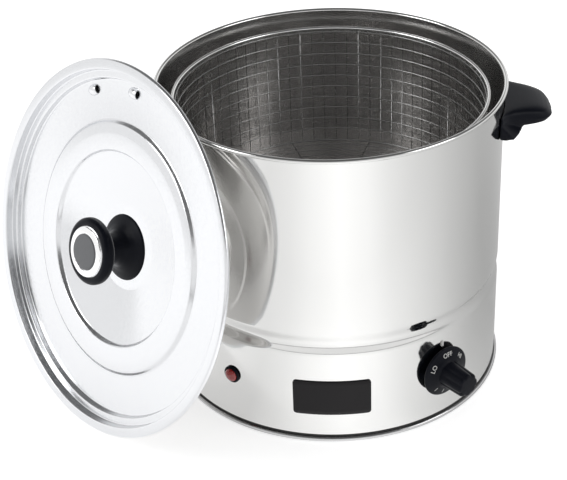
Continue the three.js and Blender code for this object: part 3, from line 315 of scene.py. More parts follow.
def rounded(points, radius, steps=4, loop=False):
    """The same line with each corner rounded, by less where its sides are short."""
    line = [Vector(p) for p in points]
    out = []
    for i, corner in enumerate(line):
        inner = loop or 0 < i < len(line) - 1
        before = line[i - 1] - corner
        after = line[(i + 1) % len(line)] - corner
        if not inner or min(before.length, after.length) < 1e-9:
            out.append(tuple(corner))
            continue
        cut = min(radius, before.length * 0.48, after.length * 0.48)
        a = corner + before.normalized() * cut
        b = corner + after.normalized() * cut
        for k in range(steps + 1):
            t = k / steps
            point = a * (1 - t) ** 2 + corner * (2 * t * (1 - t)) + b * t**2
            out.append(tuple(point))
    return out


def offset_line(line, distance):
    """The other face of a sheet: the line moved to its left."""
    points = [Vector(p) for p in line]
    steps = [(b - a).normalized() for a, b in zip(points, points[1:])]
    moved = []
    for i, point in enumerate(points):
        before = steps[max(i - 1, 0)]
        after = steps[min(i, len(steps) - 1)]
        middle = (before + after).normalized()
        reach = distance / max(middle.dot(after), 0.3)
        moved.append((max(point.x - middle.y * reach, 0), point.y + middle.x * reach))
    return moved


def circle(radius, height, count=ROUND_SIDES):
    return [at_azimuth(360 * i / count, radius, height) for i in range(count)]


def new_object(name, mesh_data, material, body, replaced=(), place=None, sharp=40):
    """Turns a bmesh in millimetres into a piece that rides on a body."""
    bmesh.ops.scale(mesh_data, vec=(MM, MM, MM), verts=mesh_data.verts)
    if place is not None:
        bmesh.ops.transform(mesh_data, matrix=place, verts=mesh_data.verts)
    bmesh.ops.remove_doubles(mesh_data, verts=mesh_data.verts, dist=1e-7)
    bmesh.ops.recalc_face_normals(mesh_data, faces=mesh_data.faces)
    mesh = bpy.data.meshes.new(name)
    mesh_data.to_mesh(mesh)
    mesh_data.free()
    mesh.shade_smooth()
    mesh.set_sharp_from_angle(angle=math.radians(sharp))
    obj = bpy.data.objects.new(name, mesh)
    bpy.context.scene.collection.objects.link(obj)
    finishes = material if isinstance(material, (list, tuple)) else [material]
    for finish in finishes:
        mesh.materials.append(finish)
    bpy.context.view_layer.update()
    if replaced:
        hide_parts(*replaced)
    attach(obj, body)
    return obj


def add_lathe(mesh_data, profile, sides=ROUND_SIDES, loop=False, spin=None):
    """Turns a line of (radius, height) pairs round Z. spin bends the radius by the angle."""
    rows = []
    for radius, height in profile:
        if radius < 1e-6:
            rows.append([mesh_data.verts.new((0, 0, height))])
            continue
        row = []
        for i in range(sides):
            angle = 2 * math.pi * i / sides
            at = spin(radius, height, angle) if spin else radius
            row.append(mesh_data.verts.new((at * math.sin(angle), -at * math.cos(angle), height)))
        rows.append(row)
    pairs = list(zip(rows, rows[1:]))
    if loop:
        pairs.append((rows[-1], rows[0]))
    for low, high in pairs:
        for i in range(sides):
            j = (i + 1) % sides
            corners = [
                low[i % len(low)], low[j % len(low)], high[j % len(high)], high[i % len(high)]]
            unique = []
            for vert in corners:
                if vert not in unique:
                    unique.append(vert)
            if len(unique) > 2:
                mesh_data.faces.new(unique)


def lathe(name, profile, material, body, replaced=(), place=None, sides=ROUND_SIDES, loop=False,
          spin=None):
    mesh_data = bmesh.new()
    add_lathe(mesh_data, profile, sides, loop, spin)
    return new_object(name, mesh_data, material, body, replaced, place)


def add_rod(mesh_data, path, radius, sides=8, loop=False):
    """A round rod along a line of points. Its open ends are closed."""
    points = [Vector(p) for p in path]
    count = len(points)
    rings = []
    for i, point in enumerate(points):
        before = points[i - 1] if loop or i > 0 else point
        after = points[(i + 1) % count] if loop or i < count - 1 else point
        ahead = (after - before).normalized()
        upright = abs(ahead.z) >= 0.9
        guide = Vector((point.x, point.y, 0)).normalized() if upright else Vector((0, 0, 1))
        side = ahead.cross(guide).normalized()
        up = side.cross(ahead)
        ring = []
        for k in range(sides):
            angle = 2 * math.pi * k / sides
            ring.append(mesh_data.verts.new(
                point + side * (radius * math.cos(angle)) + up * (radius * math.sin(angle))))
        rings.append(ring)
    pairs = list(zip(rings, rings[1:]))
    if loop:
        pairs.append((rings[-1], rings[0]))
    for low, high in pairs:
        for k in range(sides):
            m = (k + 1) % sides
            mesh_data.faces.new((low[k], low[m], high[m], high[k]))
    if not loop:
        mesh_data.faces.new(list(reversed(rings[0])))
        mesh_data.faces.new(rings[-1])


def add_hexagon(mesh_data, across, low, high, chamfer):
    """A hexagonal prism with its corners turned off at both ends."""
    corner = across / (2 * math.cos(math.pi / 6))
    rows = []
    for height, inset in ((low, chamfer), (low + chamfer, 0), (high - chamfer, 0), (high, chamfer)):
        rows.append([
            mesh_data.verts.new((
                (corner - inset) * math.cos(math.pi * k / 3),
                (corner - inset) * math.sin(math.pi * k / 3),
                height,
            ))
            for k in range(6)
        ])
    for a, b in zip(rows, rows[1:]):
        for k in range(6):
            m = (k + 1) % 6
            mesh_data.faces.new((a[k], a[m], b[m], b[k]))
    mesh_data.faces.new(list(reversed(rows[0])))
    mesh_data.faces.new(rows[-1])


def add_sweep(mesh_data, azimuth, half_span, section, columns):
    """A solid swept round the wall. section(share) is its outline, share from -1 to 1."""
    rows = []
    for i in range(columns + 1):
        share = 2 * i / columns - 1
        rows.append([mesh_data.verts.new(at_azimuth(azimuth + share * half_span, r, z))
                     for r, z in section(share)])
    for a, b in zip(rows, rows[1:]):
        for k in range(len(a)):
            m = (k + 1) % len(a)
            mesh_data.faces.new((a[k], a[m], b[m], b[k]))
    mesh_data.faces.new(rows[0])
    mesh_data.faces.new(list(reversed(rows[-1])))


def modify(obj, kind, **values):
    modifier = obj.modifiers.new(kind.lower(), kind)
    for name, value in values.items():
        setattr(modifier, name, value)


# Materials


def node(tree, kind, **values):
    made = tree.nodes.new(kind)
    for name, value in values.items():
        if name in made.inputs:
            made.inputs[name].default_value = value
        else:
            setattr(made, name, value)
    return made


def surface(name, colour, other, roughness, metallic=0.0, grain=900.0, stretch=(1, 1, 1),
            bump=0.02, depth=0.00005, spread=0.15, mottle=18.0, slot=None, **sockets):
    """A finish with a fine grain in its roughness and relief and a slow change of colour.

    roughness is (low, high), and stretch draws the grain out along an axis, as brushing does.
    """
    material = bpy.data.materials.new(name)
    material["slot"] = slot or name
    material.use_nodes = True
    material.diffuse_color = (*colour, 1)
    tree = material.node_tree
    tree.nodes.clear()
    output = node(tree, "ShaderNodeOutputMaterial")
    shader = node(tree, "ShaderNodeBsdfPrincipled")
    shader.inputs["Metallic"].default_value = metallic
    for key, value in sockets.items():
        shader.inputs[key.replace("_", " ")].default_value = value
    place = node(tree, "ShaderNodeTexCoord")
    mapping = node(tree, "ShaderNodeMapping")
    mapping.inputs["Scale"].default_value = stretch
    fine = node(tree, "ShaderNodeTexNoise", Scale=grain, Detail=4.0, Roughness=0.6)
    slow = node(tree, "ShaderNodeTexNoise", Scale=mottle, Detail=3.0, Roughness=0.5)
    rough = node(tree, "ShaderNodeMapRange")
    rough.inputs["From Min"].default_value = 0.5 - spread
    rough.inputs["From Max"].default_value = 0.5 + spread
    rough.inputs["To Min"].default_value = roughness[0]
    rough.inputs["To Max"].default_value = roughness[1]
    mix = node(tree, "ShaderNodeMix", data_type="RGBA")
    mix.inputs["A"].default_value = (*colour, 1)
    mix.inputs["B"].default_value = (*other, 1)
    relief = node(tree, "ShaderNodeBump", Strength=bump, Distance=depth)
    link = tree.links.new
    link(place.outputs["Object"], mapping.inputs["Vector"])
    link(mapping.outputs["Vector"], fine.inputs["Vector"])
    link(place.outputs["Object"], slow.inputs["Vector"])
    link(fine.outputs["Fac"], rough.inputs["Value"])
    link(rough.outputs["Result"], shader.inputs["Roughness"])
    link(slow.outputs["Fac"], mix.inputs["Factor"])
    link(mix.outputs["Result"], shader.inputs["Base Color"])
    link(fine.outputs["Fac"], relief.inputs["Height"])
    link(relief.outputs["Normal"], shader.inputs["Normal"])
    link(shader.outputs["BSDF"], output.inputs["Surface"])
    return material


STEEL = surface("polished_steel", (0.74, 0.74, 0.73), (0.71, 0.71, 0.70), (0.05, 0.11), 1.0,
                grain=260, stretch=(1, 1, 3), bump=0.01, mottle=6)
# Painted shade: a darker, rougher copy of the polished steel for the tank's inside and floor and
# the lid's underside
SHADED_INSIDE_STEEL = surface("polished_steel_inside_painted_shade", (0.68, 0.67, 0.66), (0.65, 0.64, 0.63), (0.20, 0.25), 1.0,
                 grain=260, stretch=(1, 1, 3), bump=0.005, mottle=6, slot="polished_steel")
LID_STEEL = surface("lid_steel", (0.77, 0.778, 0.795), (0.75, 0.758, 0.775), (0.15, 0.24), 1.0,
                    grain=300, bump=0.01, mottle=8, slot="polished_steel")
SATIN = surface("satin_steel", (0.52, 0.52, 0.51), (0.46, 0.46, 0.45), (0.28, 0.42), 1.0,
                grain=700, stretch=(1, 6, 1), bump=0.03)
CHROME = surface("chrome_trim", (0.96, 0.96, 0.965), (0.93, 0.93, 0.935), (0.08, 0.14), 1.0,
                 grain=300, bump=0.005)
# Painted shade: the base pan's chrome made much darker, so its rolled edge shows grey instead of
# mirroring white
SHADED_PAN_STEEL = surface("pan_steel_painted_shade", (0.56, 0.56, 0.565), (0.50, 0.50, 0.505), (0.16, 0.26), 1.0,
                    grain=300, bump=0.01, mottle=8, slot="chrome_trim")
WIRE = surface("basket_wire", (0.46, 0.46, 0.455), (0.38, 0.38, 0.375), (0.14, 0.26), 1.0,
               grain=900, bump=0.04)
HOOP = surface("basket_hoop", (0.82, 0.82, 0.815), (0.77, 0.77, 0.765), (0.12, 0.20), 1.0,
               grain=600, bump=0.02, slot="basket_wire")
ZINC = surface("zinc_steel", (0.60, 0.62, 0.64), (0.50, 0.52, 0.55), (0.28, 0.42), 1.0,
               grain=1200, bump=0.05)
BLACK = surface("black_plastic", (0.004, 0.005, 0.009), (0.007, 0.008, 0.013), (0.30, 0.40),
                grain=1400, bump=0.10, depth=0.00008, mottle=30, Specular_IOR_Level=0.10)
LABEL = surface("black_label", (0.006, 0.005, 0.006), (0.009, 0.0075, 0.009), (0.30, 0.40),
                grain=900, bump=0.02, mottle=30, Specular_IOR_Level=0.2)
GREY = surface("dark_grey_plastic", (0.135, 0.140, 0.150), (0.155, 0.158, 0.166), (0.36, 0.48),
               grain=1500, bump=0.08, mottle=40)
RUBBER = surface("black_rubber", (0.012, 0.012, 0.012), (0.022, 0.022, 0.022), (0.62, 0.80),
                 grain=1100, bump=0.15)
IVORY = surface("ivory_plastic", (0.62, 0.58, 0.48), (0.56, 0.52, 0.43), (0.42, 0.55),
                grain=900, bump=0.06)
WHITE = surface("white_paint", (0.80, 0.80, 0.78), (0.74, 0.74, 0.72), (0.40, 0.52),
                grain=900, bump=0.04)
RED_LENS = surface("red_lens", (0.42, 0.020, 0.018), (0.36, 0.014, 0.014), (0.10, 0.16),
                   grain=500, bump=0.02, Coat_Weight=0.6, Coat_Roughness=0.05)
RED_BUTTON = surface("red_button", (0.42, 0.020, 0.018), (0.34, 0.016, 0.015), (0.32, 0.42),
                     grain=900, bump=0.05)
CAST = surface("cast_aluminium", (0.56, 0.57, 0.58), (0.44, 0.45, 0.46), (0.42, 0.62), 1.0,
               grain=1300, bump=0.18, depth=0.0002)
BRASS = surface("brass", (0.62, 0.47, 0.20), (0.54, 0.40, 0.17), (0.26, 0.38), 1.0,
                grain=900, bump=0.04)
RED_WIRE = surface("red_wire", (0.30, 0.035, 0.025), (0.24, 0.028, 0.020), (0.38, 0.50),
                   grain=900, bump=0.05)

FINISHES = {
    finish["slot"]: finish
    for finish in (STEEL, SATIN, CHROME, WIRE, ZINC, BLACK, LABEL, GREY, RUBBER, IVORY, WHITE,
                   RED_LENS, RED_BUTTON, CAST, BRASS, RED_WIRE)
}


# Tank and base


def swage(inward):
    """The pressed groove that carries the tank floor, from its lower end to its upper end."""
    line = []
    for i in range(SWAGE_STEPS + 1):
        share = 2 * i / SWAGE_STEPS - 1
        depth = SWAGE_DEPTH * (1 + math.cos(math.pi * share)) / 2
        line.append((WALL_RADIUS - inward - depth, SWAGE_HEIGHT + SWAGE_HALF_WIDTH * share))
    return line


def straight(low, high, radius):
    count = max(1, round(abs(high - low) / WALL_STEP))
    return [(radius, low + (high - low) * i / count) for i in range(1, count)]


def tank_wall():
    groove = swage(0)
    inner_groove = swage(SHEET)[::-1]
    rim_centre = WALL_INSIDE + RIM_BEAD
    start = math.degrees(math.acos((RIM_BEAD - SHEET) / RIM_BEAD)) - 180
    bead = arc(rim_centre, RIM_HEIGHT, RIM_BEAD, start, 180, 20)
    outer = [
        (WALL_RADIUS, WALL_FOOT),
        *straight(WALL_FOOT, groove[0][1], WALL_RADIUS),
        *groove,
        *straight(groove[-1][1], bead[0][1], WALL_RADIUS),
        *bead,
    ]
    inner = [
        *straight(RIM_HEIGHT, inner_groove[0][1], WALL_INSIDE),
        *inner_groove,
        *straight(inner_groove[-1][1], WALL_FOOT, WALL_INSIDE),
        (WALL_INSIDE, WALL_FOOT),
    ]
    mesh_data = bmesh.new()
    add_lathe(mesh_data, outer + inner, loop=True)
    # The inner faces take the darker steel, painted shade inside the tank
    first_inner = (len(outer) - 1) * ROUND_SIDES
    for index, face in enumerate(mesh_data.faces):
        face.material_index = 1 if index >= first_inner else 0
    new_object("tank_shell", mesh_data, [STEEL, SHADED_INSIDE_STEEL], "casing", ["tank_wall"])


def base():
    floor_line = rounded(raised(FLOOR_LINE, FLOOR_TOP), FLOOR_ROUND)
    # The tank floor takes the darker steel, painted shade inside the tank
    lathe("tank_bottom", floor_line, SHADED_INSIDE_STEEL, "casing", ["tank_floor"])

    under = rounded(PAN_UNDERSIDE, PAN_ROUNDS[0])
    edge = arc(WALL_RADIUS, PAN_EDGE_HEIGHT, PAN_EDGE_RADIUS, *PAN_EDGE_TURN)
    inside = rounded(PAN_INSIDE, PAN_ROUNDS[1])
    # The pan takes the darkened chrome, painted shade at the base
    lathe("pan", under + edge + inside, SHADED_PAN_STEEL, "casing", ["base_pan"])

    gasket_line = rounded(GASKET_LINE, GASKET_ROUND, loop=True)
    lathe("gasket", gasket_line, RUBBER, "casing", ["base_gasket"], loop=True)

    foot_line = rounded(FOOT_LINE, FOOT_ROUND)
    for index, azimuth in enumerate(FOOT_AZIMUTHS, 1):
        place = Matrix.Translation(at_azimuth(azimuth, FOOT_CIRCLE, 0) * MM)
        lathe(f"rubber_foot_{index}", foot_line, RUBBER, "casing", [f"foot_{index}"], place,
              FOOT_SIDES)


tank_wall()
base()


# Side handles


def ear_section(share, steps=10):
    """Upper face from the wall out, round the edge, and back along the lower face."""
    fullness = 1 / (1 + (abs(share) / EAR_HALF_SHARE) ** EAR_POWER)
    reach = EAR_END_REACH + (HANDLE_REACH - EAR_END_REACH) * fullness
    start = WALL_RADIUS + HANDLE_GAP
    upper, lower = [], []
    for i in range(steps + 1):
        part = i / steps
        out = part * reach
        top = HANDLE_TOP - HANDLE_DROOP * (out / HANDLE_REACH) ** 2
        thick = HANDLE_THICK[0] + (HANDLE_THICK[1] - HANDLE_THICK[0]) * out / HANDLE_REACH
        edge = (1 - part**EAR_EDGE_POWER) ** 0.5
        middle = top - thick / 2
        upper.append((start + out, middle + thick / 2 * edge))
        lower.append((start + out, middle - thick / 2 * edge))
    return upper + lower[-2::-1]


def block_section(share):
    swell = math.sqrt(1 - share**2 / 2)
    start = WALL_RADIUS + HANDLE_GAP
    low = BLOCK_LOW + BLOCK_END_RISE * share**BLOCK_END_POWER
    return [
        (start, low),
        (start + BLOCK_REACH[0] * swell, low),
        (start + BLOCK_REACH[1] * swell, HANDLE_TOP - HANDLE_THICK[0] - BLOCK_OUTER_DROP),
        (start, HANDLE_TOP - BLOCK_INNER_DROP),
    ]


def handle(side, azimuth):
    mesh_data = bmesh.new()
    add_sweep(mesh_data, azimuth, HANDLE_HALF_SPAN, ear_section, EAR_COLUMNS)
    add_sweep(mesh_data, azimuth, BLOCK_HALF_SPAN, block_section, BLOCK_COLUMNS)
    obj = new_object(f"handle_moulding_{side}", mesh_data, BLACK, "casing", [f"handle_{side}"])
    modify(obj, "REMESH", mode="VOXEL", voxel_size=MOULDING_VOXEL * MM, use_smooth_shade=True)
    modify(obj, "SMOOTH", factor=0.5, iterations=MOULDING_SMOOTHS)


for side, azimuth in HANDLE_AZIMUTHS.items():
    handle(side, azimuth)


# Dial


def fluted(radius, height, angle):
    start, run_out = FLUTE_FOOT
    fade = min(1, max(0, (height - start) / run_out)) * min(1, radius / FLUTE_RADIUS)
    wave = 1 - abs(math.cos(FLUTES / 2 * angle)) ** FLUTE_POWER
    return radius - FLUTE_DEPTH * fade * wave


def print_place(turn):
    """A place on the skirt's sloping face, reading outwards at this turn from the top."""
    edge_radius, edge_height = DIAL_SKIRT[4]
    rise, run = PRINT_SLOPE
    height = edge_height + (edge_radius - PRINT_RADIUS) * rise / run + PRINT_RISE
    local = (Matrix.Rotation(-math.radians(turn), 4, "Z")
             @ Matrix.Translation(Vector((0, PRINT_RADIUS, height)) * MM)
             @ Matrix.Rotation(-math.atan2(rise, run), 4, "X"))
    return dial_place @ local


def dial_word(text, turn):
    curve = bpy.data.curves.new(f"print_{text}", "FONT")
    curve.body = text
    curve.align_x = "CENTER"
    curve.align_y = "CENTER"
    curve.size = PRINT_SIZE * MM
    curve.extrude = PRINT_THICKNESS * MM
    curve.offset = PRINT_WEIGHT * MM
    holder = bpy.data.objects.new(f"print_{text}", curve)
    bpy.context.scene.collection.objects.link(holder)
    bpy.context.view_layer.update()
    evaluated = holder.evaluated_get(bpy.context.evaluated_depsgraph_get())
    mesh = bpy.data.meshes.new_from_object(evaluated)
    bpy.data.objects.remove(holder)
    obj = bpy.data.objects.new(f"dial_print_{text}", mesh)
    bpy.context.scene.collection.objects.link(obj)
    mesh.materials.clear()
    mesh.materials.append(WHITE)
    mesh.transform(print_place(turn))
    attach(obj, "dial")


def dial_tick(index, turn):
    mesh_data = bmesh.new()
    bmesh.ops.create_cube(mesh_data, size=1)
    bmesh.ops.scale(mesh_data, vec=TICK_SIZE, verts=mesh_data.verts)
    new_object(f"dial_tick_{index}", mesh_data, WHITE, "dial", place=print_place(turn))


dial_place = wall_frame(DIAL_PLACE)
dial_line = rounded(DIAL_SKIRT, DIAL_ROUNDS[0]) + rounded(DIAL_GRIP, DIAL_ROUNDS[1])[1:]
lathe("dial_knob", dial_line, BLACK, "dial", ["control_dial"], dial_place, DIAL_SIDES, spin=fluted)
for word, turn in PRINT_WORDS:
    dial_word(word, turn)
for index, turn in enumerate(PRINT_TICKS, 1):
    dial_tick(index, turn)


# Pilot lamp and plate


def pilot_lamp():
    place = wall_frame(PILOT_PLACE)
    surround = rounded(PILOT_SURROUND, PILOT_ROUND, loop=True)
    lathe("pilot_surround", surround, BLACK, "casing", ["pilot_bezel"], place, PILOT_SIDES,
          loop=True)
    lens = [(0, LENS_BACK), (LENS_RADIUS, LENS_BACK), (LENS_RADIUS, LENS_FOOT)]
    for i in range(1, LENS_STEPS):
        angle = i * math.pi / (2 * LENS_STEPS)
        lens.append((LENS_RADIUS * math.cos(angle), LENS_FOOT + LENS_DOME * math.sin(angle)))
    lens.append((0, LENS_FOOT + LENS_DOME))
    lathe("pilot_glass", lens, RED_LENS, "casing", ["pilot_lens"], place, PILOT_SIDES)


def name_plate():
    """A thin plate bent to the wall, with round corners and a softened edge."""
    azimuth, height = PLATE_PLACE
    half_width, half_tall = PLATE_SIZE[0] / 2, PLATE_SIZE[1] / 2
    columns, rows = PLATE_CELLS
    mesh_data = bmesh.new()

    def half_height(x):
        into_corner = abs(x) - (half_width - PLATE_CORNER)
        if into_corner <= 0:
            return half_tall
        return half_tall - PLATE_CORNER + math.sqrt(max(PLATE_CORNER**2 - into_corner**2, 0))

    def point(x, y, level, inset):
        x *= (half_width - inset) / half_width
        y *= (half_tall - inset) / half_tall
        turn = azimuth + math.degrees(x / WALL_RADIUS)
        return at_azimuth(turn, WALL_RADIUS + level, height + y)

    places = []
    for i in range(columns + 1):
        places.append(half_width * math.sin(math.pi / 2 * (2 * i / columns - 1)))
    sheets = []
    for level, inset in PLATE_LEVELS:
        sheet = []
        for x in places:
            heights = [half_height(x) * (2 * k / rows - 1) for k in range(rows + 1)]
            sheet.append([mesh_data.verts.new(point(x, y, level, inset)) for y in heights])
        sheets.append(sheet)
    for sheet in (sheets[0], sheets[-1]):
        for a, b in zip(sheet, sheet[1:]):
            for k in range(rows):
                mesh_data.faces.new((a[k], a[k + 1], b[k + 1], b[k]))
    for low, high in zip(sheets, sheets[1:]):
        for row in (0, -1):
            for i in range(columns):
                mesh_data.faces.new((low[i][row], low[i + 1][row], high[i + 1][row], high[i][row]))
        for column in (0, -1):
            for k in range(rows):
                mesh_data.faces.new((low[column][k], low[column][k + 1],
                                     high[column][k + 1], high[column][k]))
    new_object("plate", mesh_data, LABEL, "casing", ["name_plate"])


pilot_lamp()
name_plate()


# Basket


def basket_upright(turn):
    """A wire of the mesh, from the floor's edge up to its end, bent out under the rim wire."""
    line = [(MESH_RADIUS + out, BASKET_FLOOR + rise) for out, rise in UPRIGHT_FOOT]
    line += [(MESH_RADIUS + out, BASKET_RIM_HEIGHT + rise) for out, rise in UPRIGHT_BEND]
    line.append((BASKET_RIM_RADIUS + UPRIGHT_END[0], BASKET_RIM_HEIGHT + UPRIGHT_END[1]))
    return [at_azimuth(turn, radius, height) for radius, height in line]


def basket():
    rim = bmesh.new()
    rim_path = circle(BASKET_RIM_RADIUS, BASKET_RIM_HEIGHT)
    add_rod(rim, rim_path, BASKET_RIM_WIRE, sides=14, loop=True)
    new_object("basket_hoop", rim, HOOP, "basket", ["basket_rim"], sharp=180)

    mesh_data = bmesh.new()
    row = BASKET_RIM_HEIGHT + BASKET_RIM_WIRE - MESH_TOP_DROP
    while row > BASKET_FLOOR + MESH_PITCH / 2:
        add_rod(mesh_data, circle(MESH_RADIUS - MESH_WIRE, row), MESH_WIRE, loop=True)
        row -= MESH_PITCH
    for i in range(MESH_COLUMNS):
        add_rod(mesh_data, basket_upright(360 * i / MESH_COLUMNS), MESH_UPRIGHT, sides=6)
    new_object("basket_mesh", mesh_data, WIRE, "basket", ["basket_wall"], sharp=180)

    grid = bmesh.new()
    edge = MESH_RADIUS - GRID_EDGE_INSET
    radius = GRID_FIRST_RING
    while radius < edge:
        ring = circle(radius, BASKET_FLOOR + GRID_RING_RISE, count=128)
        add_rod(grid, ring, MESH_WIRE, loop=True)
        radius += GRID_PITCH
    edge_ring = circle(edge, BASKET_FLOOR + GRID_EDGE_WIRE, count=160)
    add_rod(grid, edge_ring, GRID_EDGE_WIRE, loop=True)
    for i in range(GRID_SPOKES):
        turn = 360 * i / GRID_SPOKES
        spoke = [at_azimuth(turn, end, BASKET_FLOOR + GRID_SPOKE_RISE)
                 for end in (GRID_HUB, MESH_RADIUS - GRID_SPOKE_INSET)]
        add_rod(grid, spoke, GRID_SPOKE_WIRE)
    new_object("basket_grid", grid, WIRE, "basket", ["basket_floor"], sharp=180)

    leg_line = rounded(LEG_LINE, LEG_ROUND)
    for index, azimuth in enumerate(LEG_AZIMUTHS, 1):
        place = Matrix.Translation(at_azimuth(azimuth, LEG_CIRCLE, 0) * MM)
        lathe(f"basket_stand_{index}", leg_line, WIRE, "basket", [f"basket_leg_{index}"], place,
              LEG_SIDES)


basket()


# Lid


def lid():
    edge = LID_RADIUS - LID_BEAD
    top = rounded([(edge, 0), *LID_LINE], LID_ROUND, steps=6)
    under = offset_line(top, SHEET)
    profile = under[1:][::-1] + arc(edge, -LID_BEAD, LID_BEAD, *LID_BEAD_TURN) + top[1:]
    mesh_data = bmesh.new()
    add_lathe(mesh_data, profile)
    mesh_data.faces.ensure_lookup_table()
    # The underside takes the darker steel, painted shade under the lid
    for face in mesh_data.faces[:(len(under) - 2) * ROUND_SIDES]:
        face.material_index = 1
    new_object("lid_sheet", mesh_data, [LID_STEEL, SHADED_INSIDE_STEEL], "lid", ["lid_pan"], place=lid_place)


def vent(index, angle):
    """A pressed hood over a steam hole, open at one end, with a black disc as painted shade in its
    mouth.
    """
    mesh_data = bmesh.new()
    bmesh.ops.create_uvsphere(mesh_data, u_segments=VENT_SIDES, v_segments=24, radius=1)
    bmesh.ops.scale(mesh_data, vec=VENT_HALF, verts=mesh_data.verts)
    for point, outward in (((0, 0, 0), (0, 0, -1)), ((VENT_MOUTH, 0, 0), (1, 0, 0))):
        bmesh.ops.bisect_plane(
            mesh_data, geom=mesh_data.verts[:] + mesh_data.edges[:] + mesh_data.faces[:],
            plane_co=point, plane_no=outward, clear_outer=True)
    place = (lid_place @ Matrix.Rotation(math.radians(-angle), 4, "Z")
             @ Matrix.Translation(Vector((0, VENT_RADIUS, VENT_LEVEL)) * MM))
    obj = new_object(f"vent_hood_{index}", mesh_data, LID_STEEL, "lid", place=place)
    modify(obj, "SOLIDIFY", thickness=VENT_SHEET * MM, offset=-1)

    # A black disc under the hood, painted shade standing for the hole
    hole = bmesh.new()
    add_lathe(hole, VENT_HOLE_SHADE, VENT_SIDES)
    bmesh.ops.scale(hole, vec=(VENT_HALF[0], VENT_HALF[1], 1), verts=hole.verts)
    new_object(f"vent_hole_shade_{index}", hole, RUBBER, "lid", place=place)


def knob():
    outline = raised(KNOB_BASE, KNOB_SEAT) + raised(KNOB_DISC, KNOB_TOP)
    moulding = rounded(outline, KNOB_ROUND, steps=6)
    ring = rounded(raised(KNOB_RING, KNOB_TOP), KNOB_TRIM_ROUND, loop=True)
    cap = rounded(raised(KNOB_CAP, KNOB_TOP), KNOB_TRIM_ROUND)
    pieces = [
        lathe("knob_moulding", moulding, BLACK, "lid", ["lid_knob"], lid_place, KNOB_SIDES),
        lathe("knob_bright_ring", ring, CHROME, "lid", ["knob_ring"], lid_place, KNOB_SIDES, True),
        lathe("knob_centre", cap, GREY, "lid", ["knob_cap"], lid_place, KNOB_CAP_SIDES),
        frame["nodes"]["knob_bolt"],
    ]
    for piece in pieces:
        piece.visible_glossy = False  # the lid doesn't mirror its knob


lid_place = lid_frame()
lid()
for index, turn in enumerate(VENT_TURNS, 1):
    vent(index, turn)
knob()


# Back piece


def cord_gland():
    mesh_data = bmesh.new()
    add_hexagon(mesh_data, *GLAND_NUT)
    add_lathe(mesh_data, rounded(GLAND_LINE, GLAND_ROUND, loop=True), GLAND_SIDES, loop=True)
    new_object("cord_gland", mesh_data, BLACK, "casing", ["cable_gland"],
               place=wall_frame(GLAND_PLACE))


cord_gland()

# Carried-over CAD nodes

for entry in frame["record"]["subparts"]:
    mesh = frame["nodes"][entry["node"]].data
    mesh.materials.clear()
    mesh.materials.append(FINISHES[entry["material_slot"]])


# Floor, light and camera


def seen_directly_or_mirrored(tree):
    """1 for what the camera, a polished surface or glass sees, and 0 for light on the object."""
    path = node(tree, "ShaderNodeLightPath")
    either = node(tree, "ShaderNodeMath", operation="MAXIMUM")
    any_of = node(tree, "ShaderNodeMath", operation="MAXIMUM")
    tree.links.new(path.outputs["Is Camera Ray"], either.inputs[0])
    tree.links.new(path.outputs["Is Glossy Ray"], either.inputs[1])
    tree.links.new(either.outputs[0], any_of.inputs[0])
    tree.links.new(path.outputs["Is Transmission Ray"], any_of.inputs[1])
    return path, any_of.outputs[0]


def ramp(tree, stops):
    made = node(tree, "ShaderNodeValToRGB")
    elements = made.color_ramp.elements
    while len(elements) < len(stops):
        elements.new(0.5)
    for element, (place, level) in zip(elements, stops):
        element.position = place
        element.color = (level, level, level, 1)
    return made


